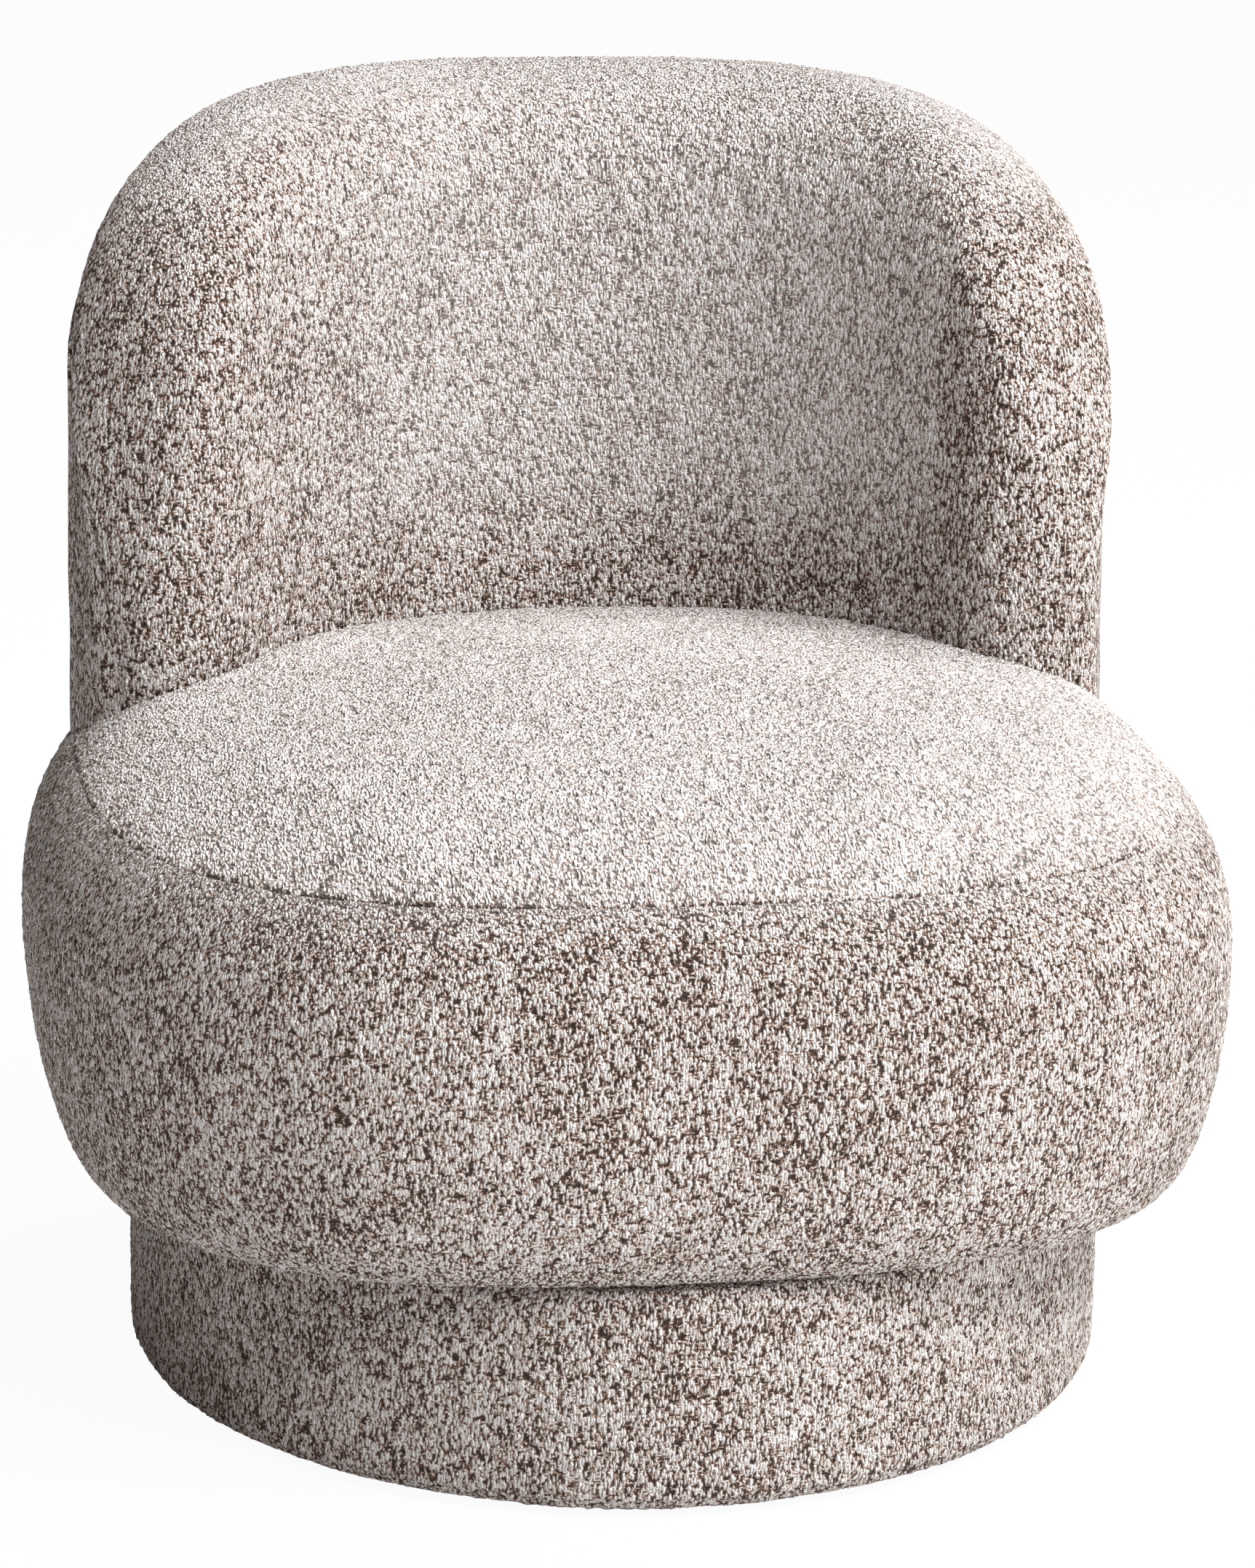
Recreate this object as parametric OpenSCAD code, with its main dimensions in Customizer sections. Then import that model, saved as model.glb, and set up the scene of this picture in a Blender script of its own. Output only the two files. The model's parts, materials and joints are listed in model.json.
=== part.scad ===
// Upholstered tub chair: a drum plinth, a thick rounded seat that swivels on it and a curved back standing in the seat.
// Millimetres, +Z up, the front faces -Y, and the origin is on the floor below the swivel axis.

/* [Seat] */
// Width of the seat at its fullest
seat_w = 720; // [660:10:790]
// Depth of the seat at its fullest
seat_d = 650; // [640:5:720]
// Squareness of the seat in plan, where 2 is an ellipse
plan_power = 2.75; // [2.5:0.05:3.2]
// Rise of the crown above the top of the shoulder
crown_h = 14; // [8:1:22]
// Height of the rounded shoulder above the fullest line
shoulder_h = 149; // [140:1:160]
// How far the shoulder rounds in from the fullest line
shoulder_in = 185; // [165:1:200]
// Height of the tucked side below the fullest line
tuck_h = 125; // [118:1:132]
// How far the side tucks in at the underside
tuck_in = 33; // [28:1:38]
// Depth of the shoulder seam below the top of the shoulder
seam_drop = 49; // [40:1:56]
// Height of the turn-under seam above the underside
hem_seam_h = 7; // [5:1:12]

/* [Back] */
// Rise of the back above the seat's crown
back_rise = 323; // [280:1:360]
// Thickness of the padded back
back_t = 106; // [96:1:112]
// Radius of the back's centreline in plan
back_r = 320; // [310:1:330]
// Distance from the swivel axis to the back's centreline at the rear
back_y = 262; // [256:1:266]
// Half of the back's length along its centreline, wing tip included
back_reach = 376; // [350:1:400]
// Backward lean of the back, in degrees
back_lean = 1.7; // [0:0.1:2.5]

/* [Plinth] */
// Diameter of the covered plinth
plinth_d = 595; // [560:5:620]
// Height of the covered plinth's top above the floor
plinth_h = 141; // [130:1:160]
// Height of the glides under the covered edge
glide_h = 5; // [3:1:10]
// Thickness of the plinth's foam wrap
wrap_t = 10; // [6:1:14]

/* [Frame] */
// Thickness of the seat and plinth boards
board_t = 18; // [15:1:21]
// Thickness of the ring that carries the webbing
ring_t = 15; // [12:1:18]
// Distance from the seat's fullest line in to its wooden frame
frame_in = 45; // [43:1:46]
// Width of the ring that carries the webbing
ring_w = 95; // [90:1:105]
// Side of the square posts
post_w = 36; // [30:1:40]
// Thickness of the bent plywood of the plinth
shell_t = 8; // [6:1:10]
// Thickness of the back's plywood skins
skin_t = 5; // [4:0.5:6]
// Thickness of the back's ribs and rails, measured through the back
rib_t = 25; // [22:1:28]

/* [Covers] */
// Thickness of the curled-pile cover fabric
cover_t = 3; // [2:0.5:4]
// Thickness of the dust cover cloth
dust_t = 1; // [0.5:0.25:1.5]
// Width of the cover's hem where it is stapled under a board
hem_w = 34; // [25:1:40]

/* [Swivel] */
// Overall height of the ball-bearing swivel
swivel_h = 10; // [9:0.5:12]
// Thickness of the pressed swivel plates
plate_t = 2.5; // [2:0.25:3]
// Radius of the swivel plates
plate_r = 165; // [155:1:170]
// Radius of the ball circle
race_r = 130; // [124:1:134]
// Diameter of the bearing balls
ball_d = 6.35; // [5.8:0.05:6.6]
// Number of bearing balls
ball_count = 24; // [12:2:36]
// Radius of the hub that pins the plates together
hub_r = 20; // [18:1:24]

/* [Hidden] */
$fn = 96;

// Colours
pile_colour = [0.73, 0.68, 0.64];
foam_colour = [0.94, 0.89, 0.72];
ply_colour = [0.83, 0.68, 0.47];
timber_colour = [0.76, 0.6, 0.4];
cloth_colour = [0.12, 0.12, 0.13];
steel_colour = [0.66, 0.67, 0.69];
dark_steel_colour = [0.3, 0.3, 0.32];
nylon_colour = [0.2, 0.2, 0.21];
web_colour = [0.86, 0.84, 0.78];

// Clearances and overrun
fit_gap = 0.3;
slot_gap = 0.5;
run_gap = 0.05;
cut = 1;

// The shoulder ends flat and the tuck ends upright at this angle
end_angle = 90;

// Mesh counts of the soft forms
seat_sides = 48;
arc_steps = 24;
tip_angles = [22.5, 45, 67.5, 89];
shoulder_power = 2.54;
tuck_power = 1.93;
crown_shares = [0.6];
arch_side_power = 5.4;
arch_top_power = 2.67;

// Levels of the plinth, from the floor up
ring_z = glide_h + cover_t;
top_board_top = plinth_h - cover_t;
top_board_z = top_board_top - board_t;
plinth_r = plinth_d/2;
shell_r = plinth_r - cover_t - wrap_t - 2*fit_gap;
edge_round = plinth_r - shell_r;
top_round = 7;
plinth_ring_w = 86;
plinth_board_r = shell_r - shell_t - fit_gap;
plinth_post_r = 240;
plinth_post_w = 30;
plinth_post_count = 6;
hub_clearance = 12;
hub_hole_r = hub_r + hub_clearance;

// Glides
glide_r = 16;
glide_round = 2;
glide_nail_r = 2;
glide_nail_h = 12;
glide_circle_r = 226;
glide_count = 6;

// Levels of the seat, from the swivel up
seat_frame_z = top_board_top + swivel_h;
under_z = seat_frame_z - cover_t;
full_z = under_z + tuck_h;
shoulder_z = full_z + shoulder_h;
seat_top = shoulder_z + crown_h;
web_t = 2;
deck_depth = 100;
deck_z = shoulder_z - deck_depth;
seat_ring_top = deck_z - 2*web_t;
seat_ring_z = seat_ring_top - ring_t;
seat_post_z = seat_frame_z + board_t;
seat_frame_w = seat_w/2 - frame_in;
seat_frame_d = seat_d/2 - frame_in;
side_band_t = 3;
web_w = 50;
web_lap = 19;
under_hem = 90;
side_post_shares = [0.84, 0.36];
front_post_shares = [0.36, -0.84];
rear_post_angle_share = 0.485;
web_across_shares = [-0.54, -0.23, 0.08];
web_along_shares = [-0.54, -0.18, 0.18, 0.54];

// Levels and lines of the back
back_half = back_t/2;
back_top = seat_top + back_rise;
arch_drop = 33;
arch_z = seat_top - arch_drop;
arc_y = back_y - back_r;
lean_share = tan(back_lean);
arc_half_angle = (back_reach - back_half)*180/(PI*back_r);
pad_z = deck_z + slot_gap;
frame_half_t = rib_t/2 + skin_t;
pad_depth = back_half - frame_half_t - 2*fit_gap;
frame_drop = 17;
frame_edge = pad_depth + frame_drop;
frame_half_angle = arc_half_angle - fit_gap*180/(PI*back_r);
rail_h = 20;
rib_w = 22;
rib_turn = rib_w/2*180/(PI*back_r);
rib_angle_shares = [-0.9, -0.48, 0, 0.48, 0.9];
upper_rail_share = 0.58;
upper_rail_z = arch_height(back_r*upper_rail_share*frame_half_angle*PI/180, frame_edge) - rail_h;
bolt_angle_shares = [-0.72, -0.25, 0.25, 0.72];
bolt_r = 4;
bolt_head_r = 8;
bolt_head_h = 4;
nut_r = 9;
nut_h = 3;

// Swivel
race_gap = 0.075;
ball_z = top_board_top + swivel_h/2;
cage_t = 1.5;
cage_half_w = 7;
cage_play = 0.6;
cage_hole_r = ball_d/2 + cage_play;
hub_wall = 4;
hub_drop = 8;
collar_w = 7;
collar_t = 2.5;
collar_gap = 0.5;
lower_screw_circle_r = 92;
upper_screw_circle_r = 150;
screw_count = 6;
screw_r = 2.5;
screw_head_r = 5;
screw_head_h = 2.2;
screw_grip = 14;

// Steps from one value to another, both ends included
function steps(first, last, count) = [for (k = [0 : count]) first + (last - first)*k/count];
function reversed(list) = [for (k = [len(list) - 1 : -1 : 0]) list[k]];

// The seat's plan is one superellipse, drawn in by an inset
function plan_share(a) = pow(pow(abs(cos(a)), plan_power) + pow(abs(sin(a)), plan_power), -1/plan_power);
function oval(inset, a) = plan_share(a)*[(seat_w/2 - inset)*cos(a), (seat_d/2 - inset)*sin(a)];
function oval_outline(inset) = [for (k = [0 : seat_sides - 1]) oval(inset, k*360/seat_sides)];

// A row of a seat form is [inset, share of that oval, height]
function shoulder_row(t, skin) = [
    shoulder_in - (shoulder_in - skin)*pow(cos(t), 2/shoulder_power),
    1,
    full_z + (shoulder_h - skin)*pow(sin(t), 2/shoulder_power)];
function tuck_row(t, skin) = [
    tuck_in - (tuck_in - skin)*pow(cos(t), 2/tuck_power),
    1,
    full_z - (tuck_h - skin)*pow(sin(t), 2/tuck_power)];
function crown_row(s, skin) = [shoulder_in, s, shoulder_z - skin + crown_h*(1 - s*s)];
function shoulder_angle(height, skin) = asin(pow(height/(shoulder_h - skin), shoulder_power/2));
function tuck_angle(height, skin) = asin(pow(1 - height/(tuck_h - skin), tuck_power/2));
seam_angle = shoulder_angle(shoulder_h - seam_drop, 0);
hem_angle = tuck_angle(hem_seam_h, 0);
top_angles = steps(end_angle, seam_angle, 4);
side_angles = steps(seam_angle, 0, 3);
tuck_angles = steps(0, hem_angle, 4);
function top_rows(skin) = concat(
    [for (s = crown_shares) crown_row(s, skin)],
    [for (t = top_angles) shoulder_row(t, skin)]);
function side_rows(skin) = concat(
    [for (t = side_angles) shoulder_row(t, skin)],
    [for (t = tuck_angles) if (t > 0) tuck_row(t, skin)]);
function under_rows(skin) = [for (t = [hem_angle, end_angle]) tuck_row(t, skin)];

// All rows of the seat's form, and the row where a level cuts it
function seat_rows(skin) = concat(
    top_rows(skin),
    [for (row = side_rows(skin)) if (row[2] < shoulder_z - seam_drop - 2*skin) row],
    [tuck_row(end_angle, skin)]);
function level_row(rows, z) = [for (i = [0 : len(rows) - 2]) let (a = rows[i], b = rows[i + 1])
    if (a[2] >= z && b[2] < z) a + (b - a)*(z - a[2])/(b[2] - a[2])];

function row_points(row) = [for (k = [0 : seat_sides - 1])
    let (p = oval(row[0], k*360/seat_sides)*row[1]) [p[0], p[1], row[2]]];
function quad_faces(a, b, c, d) = [[a, b, c], [a, c, d]];

// A solid of stacked ovals between a point at the top and a point at the bottom
module oval_stack(top_z, rows, bottom_z) {
    n = seat_sides;
    last = len(rows) - 1;
    points = concat([[0, 0, top_z]], [for (row = rows) each row_points(row)], [[0, 0, bottom_z]]);
    faces = concat(
        [for (k = [0 : n - 1]) [0, 1 + (k + 1)%n, 1 + k]],
        [for (i = [0 : last - 1]) for (k = [0 : n - 1])
            each quad_faces(1 + i*n + k, 1 + i*n + (k + 1)%n, 1 + (i + 1)*n + (k + 1)%n, 1 + (i + 1)*n + k)],
        [for (k = [0 : n - 1]) [len(points) - 1, 1 + last*n + k, 1 + last*n + (k + 1)%n]]);
    polyhedron(points, faces);
}

// A ring of stacked ovals whose last row closes on its first
module oval_ring(rows) {
    n = seat_sides;
    m = len(rows);
    points = [for (row = rows) each row_points(row)];
    faces = [for (i = [0 : m - 1]) for (k = [0 : n - 1])
        each quad_faces(i*n + k, i*n + (k + 1)%n, ((i + 1)%m)*n + (k + 1)%n, ((i + 1)%m)*n + k)];
    polyhedron(points, faces);
}

module oval_board(inset, z, t) {
    translate([0, 0, z])
        linear_extrude(t)
            polygon(oval_outline(inset));
}

// The back's columns are [angle along the arc, angle round the wing tip]
columns = concat(
    [for (a = reversed(tip_angles)) [-arc_half_angle, -a]],
    [for (th = steps(-arc_half_angle, arc_half_angle, arc_steps)) [th, 0]],
    [for (a = tip_angles) [arc_half_angle, a]]);
function column_half(col, skin) = (back_half - skin)*cos(col[1]);
function column_run(col, skin) = (back_half - skin)*sin(col[1]);
function arch_height(s, skin) =
    arch_z + (back_top - skin - arch_z)*pow(max(0, 1 - pow(abs(s)/(back_reach - skin), arch_side_power)),
    1/arch_top_power);
function column_top(col, skin) = arch_height(back_r*col[0]*PI/180 + column_run(col, skin), skin);

// A point of the back: offset from the centreline, run past the arc's end, height, and its lean above the seat
function back_point(col, offset, run, z, lean) = [
    (back_r + offset)*sin(col[0]) + run*cos(col[0]),
    arc_y + (back_r + offset)*cos(col[0]) - run*sin(col[0]) + lean*max(0, z - seat_top),
    z];
rise_shares = [0, 0.25, 0.6, 1];
roll_angles = [0, 30, 60, 90, 120, 150, 180];
function rise_point(col, skin, lean, side, share) =
    let (h = column_half(col, skin), top = column_top(col, skin))
    back_point(col, side*h, column_run(col, skin), pad_z + (top - h - pad_z)*share, lean);
function roll_point(col, skin, lean, a) =
    let (h = column_half(col, skin), top = column_top(col, skin))
    back_point(col, h*cos(a), column_run(col, skin), top - h + h*sin(a), lean);
function rear_path(col, skin, lean) = [for (s = rise_shares) rise_point(col, skin, lean, 1, s)];
function front_path(col, skin, lean) = concat(
    [for (a = roll_angles) roll_point(col, skin, lean, a)],
    [for (s = reversed(rise_shares)) if (s < 1) rise_point(col, skin, lean, -1, s)]);

// A cloth between an outer and an inner grid of points, closed round its edges
module cloth(outer, inner) {
    n = len(outer);
    m = len(outer[0]);
    half = n*m;
    points = concat([for (col = outer) each col], [for (col = inner) each col]);
    faces = concat(
        [for (j = [0 : n - 2]) for (i = [0 : m - 2])
            each quad_faces(j*m + i, j*m + i + 1, (j + 1)*m + i + 1, (j + 1)*m + i)],
        [for (j = [0 : n - 2]) for (i = [0 : m - 2])
            each quad_faces(half + j*m + i, half + (j + 1)*m + i, half + (j + 1)*m + i + 1, half + j*m + i + 1)],
        [for (j = [0 : n - 2]) each quad_faces(j*m, (j + 1)*m, half + (j + 1)*m, half + j*m)],
        [for (j = [0 : n - 2])
            each quad_faces(j*m + m - 1, half + j*m + m - 1, half + (j + 1)*m + m - 1, (j + 1)*m + m - 1)],
        [for (i = [0 : m - 2]) each quad_faces(i, half + i, half + i + 1, i + 1)],
        [for (i = [0 : m - 2])
            each quad_faces((n - 1)*m + i, (n - 1)*m + i + 1, half + (n - 1)*m + i + 1, half + (n - 1)*m + i)]);
    polyhedron(points, faces);
}

// A sector of a ring round the back's centre
module arc_band(r_in, r_out, z, h, half_angle) {
    translate([0, arc_y, 0])
        rotate([0, 0, 90 - half_angle])
            rotate_extrude(angle = 2*half_angle)
                translate([r_in, z])
                    square([r_out - r_in, h]);
}

// The space in the seat where the back stands
module back_slot(gap, rear_extra, floor_z) {
    h = back_top - floor_z;
    arc_band(back_r - back_half - gap, back_r + back_half + gap + rear_extra, floor_z, h, arc_half_angle);
    for (side = [-1, 1])
        translate([side*back_r*sin(arc_half_angle), arc_y + back_r*cos(arc_half_angle), floor_z])
            cylinder(r = back_half + gap, h = h);
}

// The arched outline of a skin of radius r, as a prism along Y
module skin_outline(r) {
    angles = steps(-frame_half_angle, frame_half_angle, arc_steps);
    top_points = [for (th = angles) [r*sin(th), arch_height(back_r*th*PI/180, frame_edge)]];
    far = back_r + back_t;
    wide = concat([[-far, top_points[0][1]]], top_points, [[far, top_points[arc_steps][1]]]);
    foot = [[far, seat_ring_top - cut], [-far, seat_ring_top - cut]];
    translate([0, far, 0])
        rotate([90, 0, 0])
            linear_extrude(2*far)
                polygon(concat(wide, foot));
}

module back_skin(r) {
    color(ply_colour)
        intersection() {
            arc_band(r, r + skin_t, seat_ring_top, back_top, frame_half_angle);
            skin_outline(r);
        }
}

module around(count, r, turn = 0) {
    for (k = [0 : count - 1])
        rotate([0, 0, turn + k*360/count])
            translate([r, 0, 0])
                children();
}

module glides() {
    head_h = ring_z - dust_t;
    color(nylon_colour)
        around(glide_count, glide_circle_r)
            rotate_extrude()
                polygon([[0, 0], [glide_r - glide_round, 0], [glide_r, glide_round], [glide_r, head_h],
                    [glide_nail_r, head_h], [glide_nail_r, head_h + glide_nail_h], [0, head_h + glide_nail_h]]);
}

module base_dust_cover() {
    color(cloth_colour)
        translate([0, 0, ring_z - dust_t])
            difference() {
                cylinder(r = shell_r - hem_w - fit_gap, h = dust_t);
                translate([0, 0, -cut])
                    around(glide_count, glide_circle_r)
                        cylinder(r = glide_nail_r + run_gap, h = dust_t + 2*cut);
            }
}

module plinth_bottom_ring() {
    color(ply_colour)
        translate([0, 0, ring_z])
            difference() {
                cylinder(r = plinth_board_r, h = board_t);
                translate([0, 0, -cut])
                    cylinder(r = plinth_board_r - plinth_ring_w, h = board_t + 2*cut);
                translate([0, 0, -cut])
                    around(glide_count, glide_circle_r)
                        cylinder(r = glide_nail_r + run_gap, h = cut + glide_nail_h);
            }
}

module plinth_posts() {
    h = top_board_z - ring_z - board_t;
    color(timber_colour)
        around(plinth_post_count, plinth_post_r - plinth_post_w/2, 180/plinth_post_count)
            translate([0, -plinth_post_w/2, ring_z + board_t])
                cube([plinth_post_w, plinth_post_w, h]);
}

module plinth_top_board() {
    color(ply_colour)
        translate([0, 0, top_board_z])
            difference() {
                cylinder(r = plinth_board_r, h = board_t);
                translate([0, 0, -cut])
                    cylinder(r = hub_hole_r, h = board_t + 2*cut);
                translate([0, 0, board_t - screw_grip + plate_t])
                    around(screw_count, lower_screw_circle_r)
                        cylinder(r = screw_r + run_gap, h = screw_grip);
            }
}

module plinth_shell() {
    color(ply_colour)
        translate([0, 0, ring_z + fit_gap])
            difference() {
                cylinder(r = shell_r, h = top_board_top - ring_z - fit_gap);
                translate([0, 0, -cut])
                    cylinder(r = shell_r - shell_t, h = plinth_h);
            }
}

// Half section of the covered plinth, drawn in by a skin
module plinth_section(skin) {
    r = plinth_r - skin;
    low_r = edge_round - skin;
    high_r = max(top_round - skin, fit_gap);
    low_z = glide_h + skin;
    high_z = plinth_h - skin;
    union() {
        translate([0, low_z + low_r])
            square([r, high_z - low_z - low_r - high_r]);
        translate([0, low_z])
            square([r - low_r, high_z - low_z]);
        translate([0, high_z - 2*high_r])
            square([r - high_r, 2*high_r]);
        intersection() {
            translate([r - low_r, low_z + low_r])
                circle(r = low_r);
            translate([r - low_r, low_z])
                square([low_r, low_r]);
        }
        intersection() {
            translate([r - high_r, high_z - high_r])
                circle(r = high_r);
            translate([r - high_r, high_z - high_r])
                square([high_r, high_r]);
        }
    }
}

module plinth_wrap() {
    color(foam_colour)
        rotate_extrude()
            difference() {
                plinth_section(cover_t + fit_gap);
                square([shell_r + fit_gap, plinth_h]);
            }
}

module plinth_cover() {
    hem_r = shell_r - hem_w;
    color(pile_colour)
        rotate_extrude()
            difference() {
                plinth_section(0);
                plinth_section(cover_t);
                square([hem_r, plinth_h]);
            }
}

// One swivel plate, grooved on the side that faces the balls
module race_plate(hole_r, z) {
    difference() {
        translate([0, 0, z])
            cylinder(r = plate_r, h = plate_t);
        translate([0, 0, z - cut])
            cylinder(r = hole_r, h = plate_t + 2*cut);
        translate([0, 0, ball_z])
            rotate_extrude()
                translate([race_r, 0])
                    circle(r = ball_d/2 + race_gap);
    }
}

module swivel_lower_plate() {
    color(steel_colour)
        difference() {
            race_plate(hub_r + run_gap, top_board_top);
            translate([0, 0, top_board_top - cut])
                around(screw_count, lower_screw_circle_r)
                    cylinder(r = screw_r + run_gap, h = plate_t + 2*cut);
        }
}

module ball_cage() {
    color(nylon_colour)
        translate([0, 0, ball_z - cage_t/2])
            difference() {
                cylinder(r = race_r + cage_half_w, h = cage_t);
                translate([0, 0, -cut])
                    cylinder(r = race_r - cage_half_w, h = cage_t + 2*cut);
                translate([0, 0, -cut])
                    around(ball_count, race_r)
                        cylinder(r = cage_hole_r, h = cage_t + 2*cut);
            }
}

module bearing_balls() {
    color(steel_colour)
        translate([0, 0, ball_z])
            around(ball_count, race_r)
                sphere(d = ball_d, $fn = 24);
}

module lower_screws() {
    color(dark_steel_colour)
        around(screw_count, lower_screw_circle_r)
            translate([0, 0, top_board_top + plate_t]) {
                cylinder(r = screw_head_r, h = screw_head_h);
                translate([0, 0, -screw_grip + run_gap])
                    cylinder(r = screw_r, h = screw_grip);
            }
}

module swivel_upper_plate() {
    plate_z = seat_frame_z - plate_t;
    color(steel_colour)
        difference() {
            union() {
                race_plate(hub_r - cut, plate_z);
                translate([0, 0, top_board_top - hub_drop])
                    cylinder(r = hub_r, h = hub_drop + swivel_h);
            }
            translate([0, 0, top_board_top - hub_drop - cut])
                cylinder(r = hub_r - hub_wall, h = hub_drop + swivel_h + 2*cut);
            translate([0, 0, plate_z - cut])
                around(screw_count, upper_screw_circle_r)
                    cylinder(r = screw_r + run_gap, h = plate_t + 2*cut);
        }
}

module hub_collar() {
    color(dark_steel_colour)
        translate([0, 0, top_board_top - collar_gap - collar_t])
            difference() {
                cylinder(r = hub_r + collar_w, h = collar_t);
                translate([0, 0, -cut])
                    cylinder(r = hub_r, h = collar_t + 2*cut);
            }
}

module upper_screws() {
    color(dark_steel_colour)
        around(screw_count, upper_screw_circle_r)
            translate([0, 0, seat_frame_z - plate_t - screw_head_h]) {
                cylinder(r = screw_head_r, h = screw_head_h);
                cylinder(r = screw_r, h = screw_head_h + screw_grip - run_gap);
            }
}

module seat_base_board() {
    color(ply_colour)
        difference() {
            oval_board(frame_in, seat_frame_z, board_t);
            translate([0, 0, seat_frame_z - cut])
                cylinder(r = hub_r, h = board_t + 2*cut);
            translate([0, 0, seat_frame_z - plate_t])
                around(screw_count, upper_screw_circle_r)
                    cylinder(r = screw_r + run_gap, h = screw_grip);
        }
}

module seat_post(x, y) {
    translate([x - post_w/2, y - post_w/2, seat_post_z])
        cube([post_w, post_w, seat_ring_z - seat_post_z]);
}

// The two rear posts stand under the back's lower rail, between its bolts
module seat_posts() {
    rear_angle = rear_post_angle_share*frame_half_angle;
    color(timber_colour)
        for (sx = [-1, 1]) {
            for (sy = [-1, 1])
                seat_post(sx*side_post_shares[0]*seat_frame_w, sy*side_post_shares[1]*seat_frame_d);
            seat_post(sx*front_post_shares[0]*seat_frame_w, front_post_shares[1]*seat_frame_d);
            seat_post(sx*back_r*sin(rear_angle), arc_y + back_r*cos(rear_angle));
        }
}

module seat_side_band() {
    h = seat_ring_z - seat_post_z;
    color(ply_colour)
        difference() {
            oval_board(frame_in, seat_post_z, h);
            oval_board(frame_in + side_band_t, seat_post_z - cut, h + 2*cut);
        }
}

module back_bolt_places() {
    for (share = bolt_angle_shares)
        translate([back_r*sin(share*frame_half_angle), arc_y + back_r*cos(share*frame_half_angle), 0])
            children();
}

module seat_top_ring() {
    color(ply_colour)
        difference() {
            oval_board(frame_in, seat_ring_z, ring_t);
            oval_board(frame_in + ring_w, seat_ring_z - cut, ring_t + 2*cut);
            translate([0, 0, seat_ring_z - cut])
                back_bolt_places()
                    cylinder(r = bolt_r + run_gap, h = ring_t + 2*cut);
        }
}

// Straps lie on the ring, one layer across and one layer along
module webbing_across() {
    half = seat_frame_w - ring_w + web_lap;
    color(web_colour)
        for (share = web_across_shares)
            translate([-half, share*seat_frame_d - web_w/2, seat_ring_top])
                cube([2*half, web_w, web_t]);
}

module webbing_along() {
    half = seat_frame_d - ring_w + web_lap;
    color(web_colour)
        for (share = web_along_shares)
            translate([share*(seat_frame_w - ring_w) - web_w/2, -half, seat_ring_top + web_t])
                cube([web_w, 2*half, web_t]);
}

module seat_side_foam() {
    skin = cover_t + fit_gap;
    inner = frame_in - fit_gap;
    all_rows = seat_rows(skin);
    rows = concat(
        level_row(all_rows, deck_z),
        [for (row = all_rows) if (row[2] < deck_z - cut) row],
        [[inner, 1, under_z + skin], [inner, 1, deck_z]]);
    color(foam_colour)
        oval_ring(rows);
}

module seat_top_foam() {
    skin = cover_t + fit_gap;
    low_z = deck_z + fit_gap;
    all_rows = seat_rows(skin);
    rows = concat([for (row = all_rows) if (row[2] > low_z + cut) row], level_row(all_rows, low_z));
    color(foam_colour)
        difference() {
            oval_stack(seat_top - skin, rows, low_z);
            back_slot(slot_gap, back_half, deck_z - cut);
        }
}

module seat_dust_cover() {
    color(cloth_colour)
        translate([0, 0, seat_frame_z - dust_t])
            linear_extrude(dust_t)
                difference() {
                    polygon(oval_outline(under_hem + fit_gap));
                    circle(r = plate_r + fit_gap);
                }
}

module seat_under_cover() {
    rows = concat(
        under_rows(0),
        [[under_hem, 1, under_z], [under_hem, 1, under_z + cover_t]],
        reversed(under_rows(cover_t)));
    color(pile_colour)
        oval_ring(rows);
}

module seat_side_cover() {
    color(pile_colour)
        difference() {
            oval_ring(concat(side_rows(0), reversed(side_rows(cover_t))));
            back_slot(slot_gap, 0, deck_z);
        }
}

module seat_top_cover() {
    color(pile_colour)
        difference() {
            oval_stack(seat_top, concat(top_rows(0), reversed(top_rows(cover_t))), seat_top - cover_t);
            back_slot(slot_gap, back_half, deck_z);
        }
}

// Ribs stand between the skins on the lower rail, and the upper rail lies on the middle ones
module back_ribs() {
    z = seat_ring_top + rail_h;
    color(timber_colour)
        for (share = rib_angle_shares) {
            th = share*frame_half_angle;
            own_top = arch_height(back_r*(abs(th) + rib_turn)*PI/180, frame_edge);
            h = (abs(share) < upper_rail_share ? upper_rail_z : own_top) - z;
            translate([0, arc_y, z])
                rotate([0, 0, -th])
                    translate([-rib_w/2, back_r - rib_t/2 + fit_gap, 0])
                        cube([rib_w, rib_t - 2*fit_gap, h]);
        }
}

module back_rails() {
    r_in = back_r - rib_t/2;
    r_out = back_r + rib_t/2;
    color(timber_colour) {
        difference() {
            arc_band(r_in, r_out, seat_ring_top, rail_h, frame_half_angle);
            translate([0, 0, seat_ring_top - cut])
                back_bolt_places()
                    cylinder(r = bolt_r + run_gap, h = rail_h + 2*cut);
        }
        arc_band(r_in, r_out, upper_rail_z, rail_h, upper_rail_share*frame_half_angle);
    }
}

module back_front_skin() {
    back_skin(back_r - frame_half_t);
}

module back_rear_skin() {
    back_skin(back_r + frame_half_t - skin_t);
}

module back_bolts() {
    color(dark_steel_colour)
        back_bolt_places()
            translate([0, 0, seat_ring_z - bolt_head_h]) {
                cylinder(r = bolt_head_r, h = bolt_head_h);
                cylinder(r = bolt_r, h = bolt_head_h + ring_t + rail_h + nut_h);
            }
}

module back_bolt_nuts() {
    color(steel_colour)
        back_bolt_places()
            translate([0, 0, seat_ring_top + rail_h])
                difference() {
                    cylinder(r = nut_r, h = nut_h);
                    translate([0, 0, -cut])
                        cylinder(r = bolt_r + run_gap, h = nut_h + 2*cut);
                }
}

// The back's pads and covers meet along the rear of the rolled edge. They lean, and the frame they hug is upright
module back_front_foam() {
    color(foam_colour)
        cloth(
            [for (col = columns) front_path(col, cover_t + fit_gap, lean_share)],
            [for (col = columns) front_path(col, pad_depth, 0)]);
}

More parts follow.
